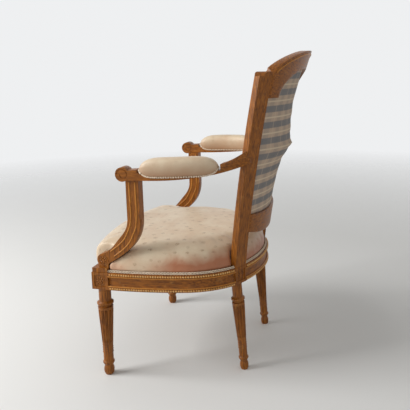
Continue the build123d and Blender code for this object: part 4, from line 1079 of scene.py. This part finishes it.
# Slack of the outside cloth: share of the opening's height, and how far the cloth hangs out behind its edge
cloth_slack = (
    (-0.1, 0.0),
    (0.05, 0.0),
    (0.2, 0.002),
    (0.32, 0.007),
    (0.41, 0.0205),
    (0.452, 0.030),
    (0.478, 0.0208),
    (0.54, 0.0142),
    (0.65, 0.005),
    (0.77, -0.002),
    (1.05, -0.003),
)


def slack_at(z):
    """Slack between the heights at which it was measured, eased from one to the next."""
    place = (z - low_rail_top) / (back_height - crest_depth - low_rail_top)
    for (low, low_slack), (high, high_slack) in zip(cloth_slack, cloth_slack[1:]):
        if low <= place <= high:
            share = (place - low) / (high - low)
            return low_slack + (high_slack - low_slack) * share * share * (3 - 2 * share)
    return 0.0


class ARMCHAIR_OT_outside_back(bpy.types.Operator):
    """Stretches the plaid cloth over the outside of the back"""

    bl_idname = "armchair.outside_back"
    bl_label = "Outside back"

    def execute(self, context):
        depth = context.scene.armchair_sizes.cloth_edge_depth
        tuck = 0.003
        columns, rows = 48, 64
        arch_z = back_height - crest_depth - arch_rise
        cloth = bmesh.new()
        grid = []
        for column in range(columns + 1):
            across = -1 + 2 * column / columns
            line = []
            for row in range(rows + 1):
                up = row / rows
                rough_z = low_rail_top + up * (back_height - crest_depth - low_rail_top)
                half = stile_inner_x(min(rough_z, shoulder_z), depth) + tuck
                x = across * half
                low_z = low_rail_top - low_rail_sag * (1 - across**2) - tuck
                arch = arch_z + arch_rise * sqrt(max(0.0, 1 - (x / shoulder_x) ** 2))
                high_z = max(arch, shoulder_z) + tuck
                z = low_z + up * (high_z - low_z)
                hang = slack_at(z) * (1 - across**2)
                line.append(cloth.verts.new(on_back(x, z, depth - hang)))
            grid.append(line)
        bridge(cloth, grid)
        bmesh.ops.recalc_face_normals(cloth, faces=cloth.faces)
        if sum(face.normal.y for face in cloth.faces) < 0:
            bmesh.ops.reverse_faces(cloth, faces=cloth.faces)
        area = sum(face.calc_area() for face in cloth.faces)
        piece = as_piece("outside_back", cloth)
        apply_modifier(piece, "SOLIDIFY", thickness=0.0012, offset=-1.0)
        smooth_faces(piece)
        settle(piece, "outside_back_cloth", "plaid_cloth")
        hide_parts("outside_back_cover")
        return {"FINISHED"}


# Braid
braid_pitch = 0.0042
pad_braid_lift, pad_braid_out = 0.0016, 0.0008
back_braid_stand = 0.0034  # in front of the frame's face
back_braid_grow = 0.0165


def pad_ring(pitch):
    """Points along the lower edge of the left arm pad."""
    near, far = [], []
    for share in pad_shares(round((pad_back_y - pad_front_y) / pitch)):
        spot, across = pad_line(share)
        out, up = pad_foot(share)
        edge = spot + Vector((0, 0, up + pad_braid_lift))
        near.append(edge + across * (out + pad_braid_out))
        far.append(edge - across * (out + pad_braid_out))
    return near + far[::-1]


def back_ring(grow, pitch):
    """Points round the opening of the back, on the front face of its frame."""
    depth = back_thickness + back_braid_stand
    right = []
    steps = round((shoulder_z - low_rail_top) / pitch)
    for step in range(steps + 1):
        z = low_rail_top - grow + (shoulder_z - low_rail_top + 2 * grow) * step / steps
        right.append((stile_inner_x(z, back_thickness) + grow, z))
    edge = right[-1][0]
    inward = round((edge - shoulder_x - grow) / pitch)
    for step in range(inward):
        right.append((edge + (shoulder_x + grow - edge) * (step + 1) / inward, right[steps][1]))
    arch_steps = round(1.25 * (shoulder_x + grow) / pitch)
    for step in range(1, arch_steps + 1):
        angle = pi / 2 * step / arch_steps
        rise = back_height - crest_depth + grow - right[steps][1]
        right.append(((shoulder_x + grow) * cos(angle), right[steps][1] + rise * sin(angle)))
    left = [(-x, z) for x, z in reversed(right[:-1])]
    foot_steps = round(2 * right[0][0] / pitch)
    foot = []
    for step in range(1, foot_steps):
        across = -1 + 2 * step / foot_steps
        foot.append((across * right[0][0], right[0][1] - low_rail_sag * (1 - across**2)))
    return [on_back(x, z, depth) for x, z in right + left + foot]


class ARMCHAIR_OT_braid(bpy.types.Operator):
    """Glues the braid round the seat, the back and the arm pads"""

    bl_idname = "armchair.braid"
    bl_label = "Braid"

    def execute(self, context):
        finish = "braid_thread"
        fray_run = 0.008
        lump = (0.0034, 0.0017, 0.0021)
        rows = []
        for inset, lift, lean in ((0.0055, 0.0022, 0.5), (0.0072, 0.0056, -0.5)):
            for index, row in enumerate(rail_rows(inset, braid_pitch)):
                points = [Vector((*point, rail_top + lift)) for point in row]
                rows.append(lumps(f"seat_braid_{index}", points, lump, lean))
        seat = settle(join_pieces(rows), "seat_braid", finish)
        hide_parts("seat_gimp")
        ring = back_ring(back_braid_grow, braid_pitch)
        back = settle(lumps("back_braid", ring, (0.0034, 0.0018, 0.0036), 0.6), "back_braid", finish)
        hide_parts("back_gimp")
        points = pad_ring(braid_pitch)
        for hand, ring in zip(hands, (points, mirrored(points))):
            name = hand + "_pad_braid"
            frayed = [p for p in ring if not pad_front_y + fray_run < p.y < pad_back_y - fray_run]
            edge = lumps(name, ring, (0.0034, 0.0016, 0.0026), 0.5)
            tufts = lumps(name, frayed, (0.0030, 0.0030, 0.0052), 0.9)
            pad = settle(join_pieces([edge, tufts]), name, finish)
            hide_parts(hand + "_arm_pad_gimp")
        return {"FINISHED"}


class ARMCHAIR_OT_webbing(bpy.types.Operator):
    """Lays the webbing and the burlap under the seat and inside the back"""

    bl_idname = "armchair.webbing"
    bl_label = "Webbing and burlap"

    def execute(self, context):
        cuts = {
            "seat_webbing": (0.54, 0.48),
            "back_webbing": (0.40, 0.44),
            "seat_burlap": (0.55, 0.48),
            "back_burlap": (0.42, 0.45),
        }
        for node, flat in cuts.items():
            piece, area = node_copy(node, node)
            select(piece)
            bpy.ops.object.shade_smooth_by_angle(angle=radians(30))
            settle(piece, node.replace("_", "_jute_"), "jute_thread")
            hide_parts(node)
        return {"FINISHED"}


class ARMCHAIR_OT_stage(bpy.types.Operator):
    """Sets the pale floor, the soft light and the camera"""

    bl_idname = "armchair.stage"
    bl_label = "Studio"

    def execute(self, context):
        scene = context.scene
        scene.view_settings.view_transform = "Standard"
        clear_selection()
        bpy.ops.mesh.primitive_plane_add(size=80)
        floor = context.object
        floor.name = "studio_floor"
        tree, shader, place = material("studio_floor")
        away = put(tree, "VectorMath", {0: place}, operation="LENGTH").outputs["Value"]
        feed(tree, shader, {"Base Color": scene.armchair_colours.floor, "Roughness": 0.7})
        feed(tree, shader, {"Alpha": fade(tree, away, 4.5, 1.3)})
        floor.data.materials.append(bpy.data.materials["studio_floor"])
        world = bpy.data.worlds.new("studio")
        world.use_nodes = True
        scene.world = world
        tree = world.node_tree
        path = put(tree, "LightPath", {}).outputs
        seen = calc(tree, "MAXIMUM", path["Is Camera Ray"], path["Is Glossy Ray"])
        shown = put(tree, "Background", {"Color": (0.86, 0.87, 0.88, 1), "Strength": 1.0})
        light = put(tree, "Background", {"Color": (1.0, 0.99, 0.97, 1), "Strength": 0.42})
        both = put(tree, "MixShader", {0: seen, 1: light.outputs[0], 2: shown.outputs[0]})
        feed(tree, tree.nodes["World Output"], {0: both.outputs[0]})
        for name, spot, size, power in (
            ("key", (1.1, -2.6, 1.9), 1.5, 92.0),
            ("fill", (2.6, 0.6, 1.6), 2.0, 6.0),
        ):
            clear_selection()
            bpy.ops.object.light_add(type="AREA", location=spot)
            lamp = context.object
            lamp.name = "studio_" + name
            lamp.data.size = size
            lamp.data.energy = power
            lamp.rotation_euler = (Vector((0, 0, 0.45)) - Vector(spot)).to_track_quat("-Z", "Y").to_euler()
        yaw, pitch, roll = -2.919, -0.161, -0.013
        ahead = Vector((cos(yaw) * cos(pitch), sin(yaw) * cos(pitch), sin(pitch)))
        right = Vector((sin(yaw), -cos(yaw), 0))
        up = right.cross(ahead)
        level = Matrix((right, up, -ahead)).transposed().to_4x4()
        clear_selection()
        bpy.ops.object.camera_add()
        camera = context.object
        camera.name = "studio_camera"
        stand = Matrix.Translation((1.629, 0.517, 0.881))
        camera.matrix_world = stand @ level @ Matrix.Rotation(roll, 4, "Z")
        camera.data.sensor_width = 36.0
        camera.data.lens = 48.0
        camera.data.shift_x = -0.122
        camera.data.shift_y = -0.110
        scene.camera = camera
        return {"FINISHED"}


operators = (
    ARMCHAIR_OT_finishes,
    ARMCHAIR_OT_frame,
    ARMCHAIR_OT_beads,
    ARMCHAIR_OT_rosettes,
    ARMCHAIR_OT_flute_rods,
    ARMCHAIR_OT_reeds,
    ARMCHAIR_OT_seat,
    ARMCHAIR_OT_arm_pads,
    ARMCHAIR_OT_inside_back,
    ARMCHAIR_OT_outside_back,
    ARMCHAIR_OT_braid,
    ARMCHAIR_OT_webbing,
    ARMCHAIR_OT_stage,
)


class ARMCHAIR_PT_panel(bpy.types.Panel):
    """Lists the armchair's pieces, sizes and colours"""

    bl_idname = "ARMCHAIR_PT_panel"
    bl_label = "Armchair"
    bl_space_type = "VIEW_3D"
    bl_region_type = "UI"
    bl_category = "Armchair"

    def draw(self, context):
        for operator in operators:
            self.layout.operator(operator.bl_idname)
        for settings in (context.scene.armchair_sizes, context.scene.armchair_colours):
            for name in settings.bl_rna.properties.keys():
                if name not in ("rna_type", "name"):
                    self.layout.prop(settings, name)


classes = (ArmchairSizes, ArmchairColours, *operators, ARMCHAIR_PT_panel)


def register():
    for each in classes:
        bpy.utils.register_class(each)
    bpy.types.Scene.armchair_sizes = PointerProperty(type=ArmchairSizes)
    bpy.types.Scene.armchair_colours = PointerProperty(type=ArmchairColours)


def unregister():
    del bpy.types.Scene.armchair_colours
    del bpy.types.Scene.armchair_sizes
    for each in reversed(classes):
        bpy.utils.unregister_class(each)


def main():
    register()
    for operator in operators:
        group_name, name = operator.bl_idname.split(".")
        getattr(getattr(bpy.ops, group_name), name)()


if __name__ == "__main__":
    main()
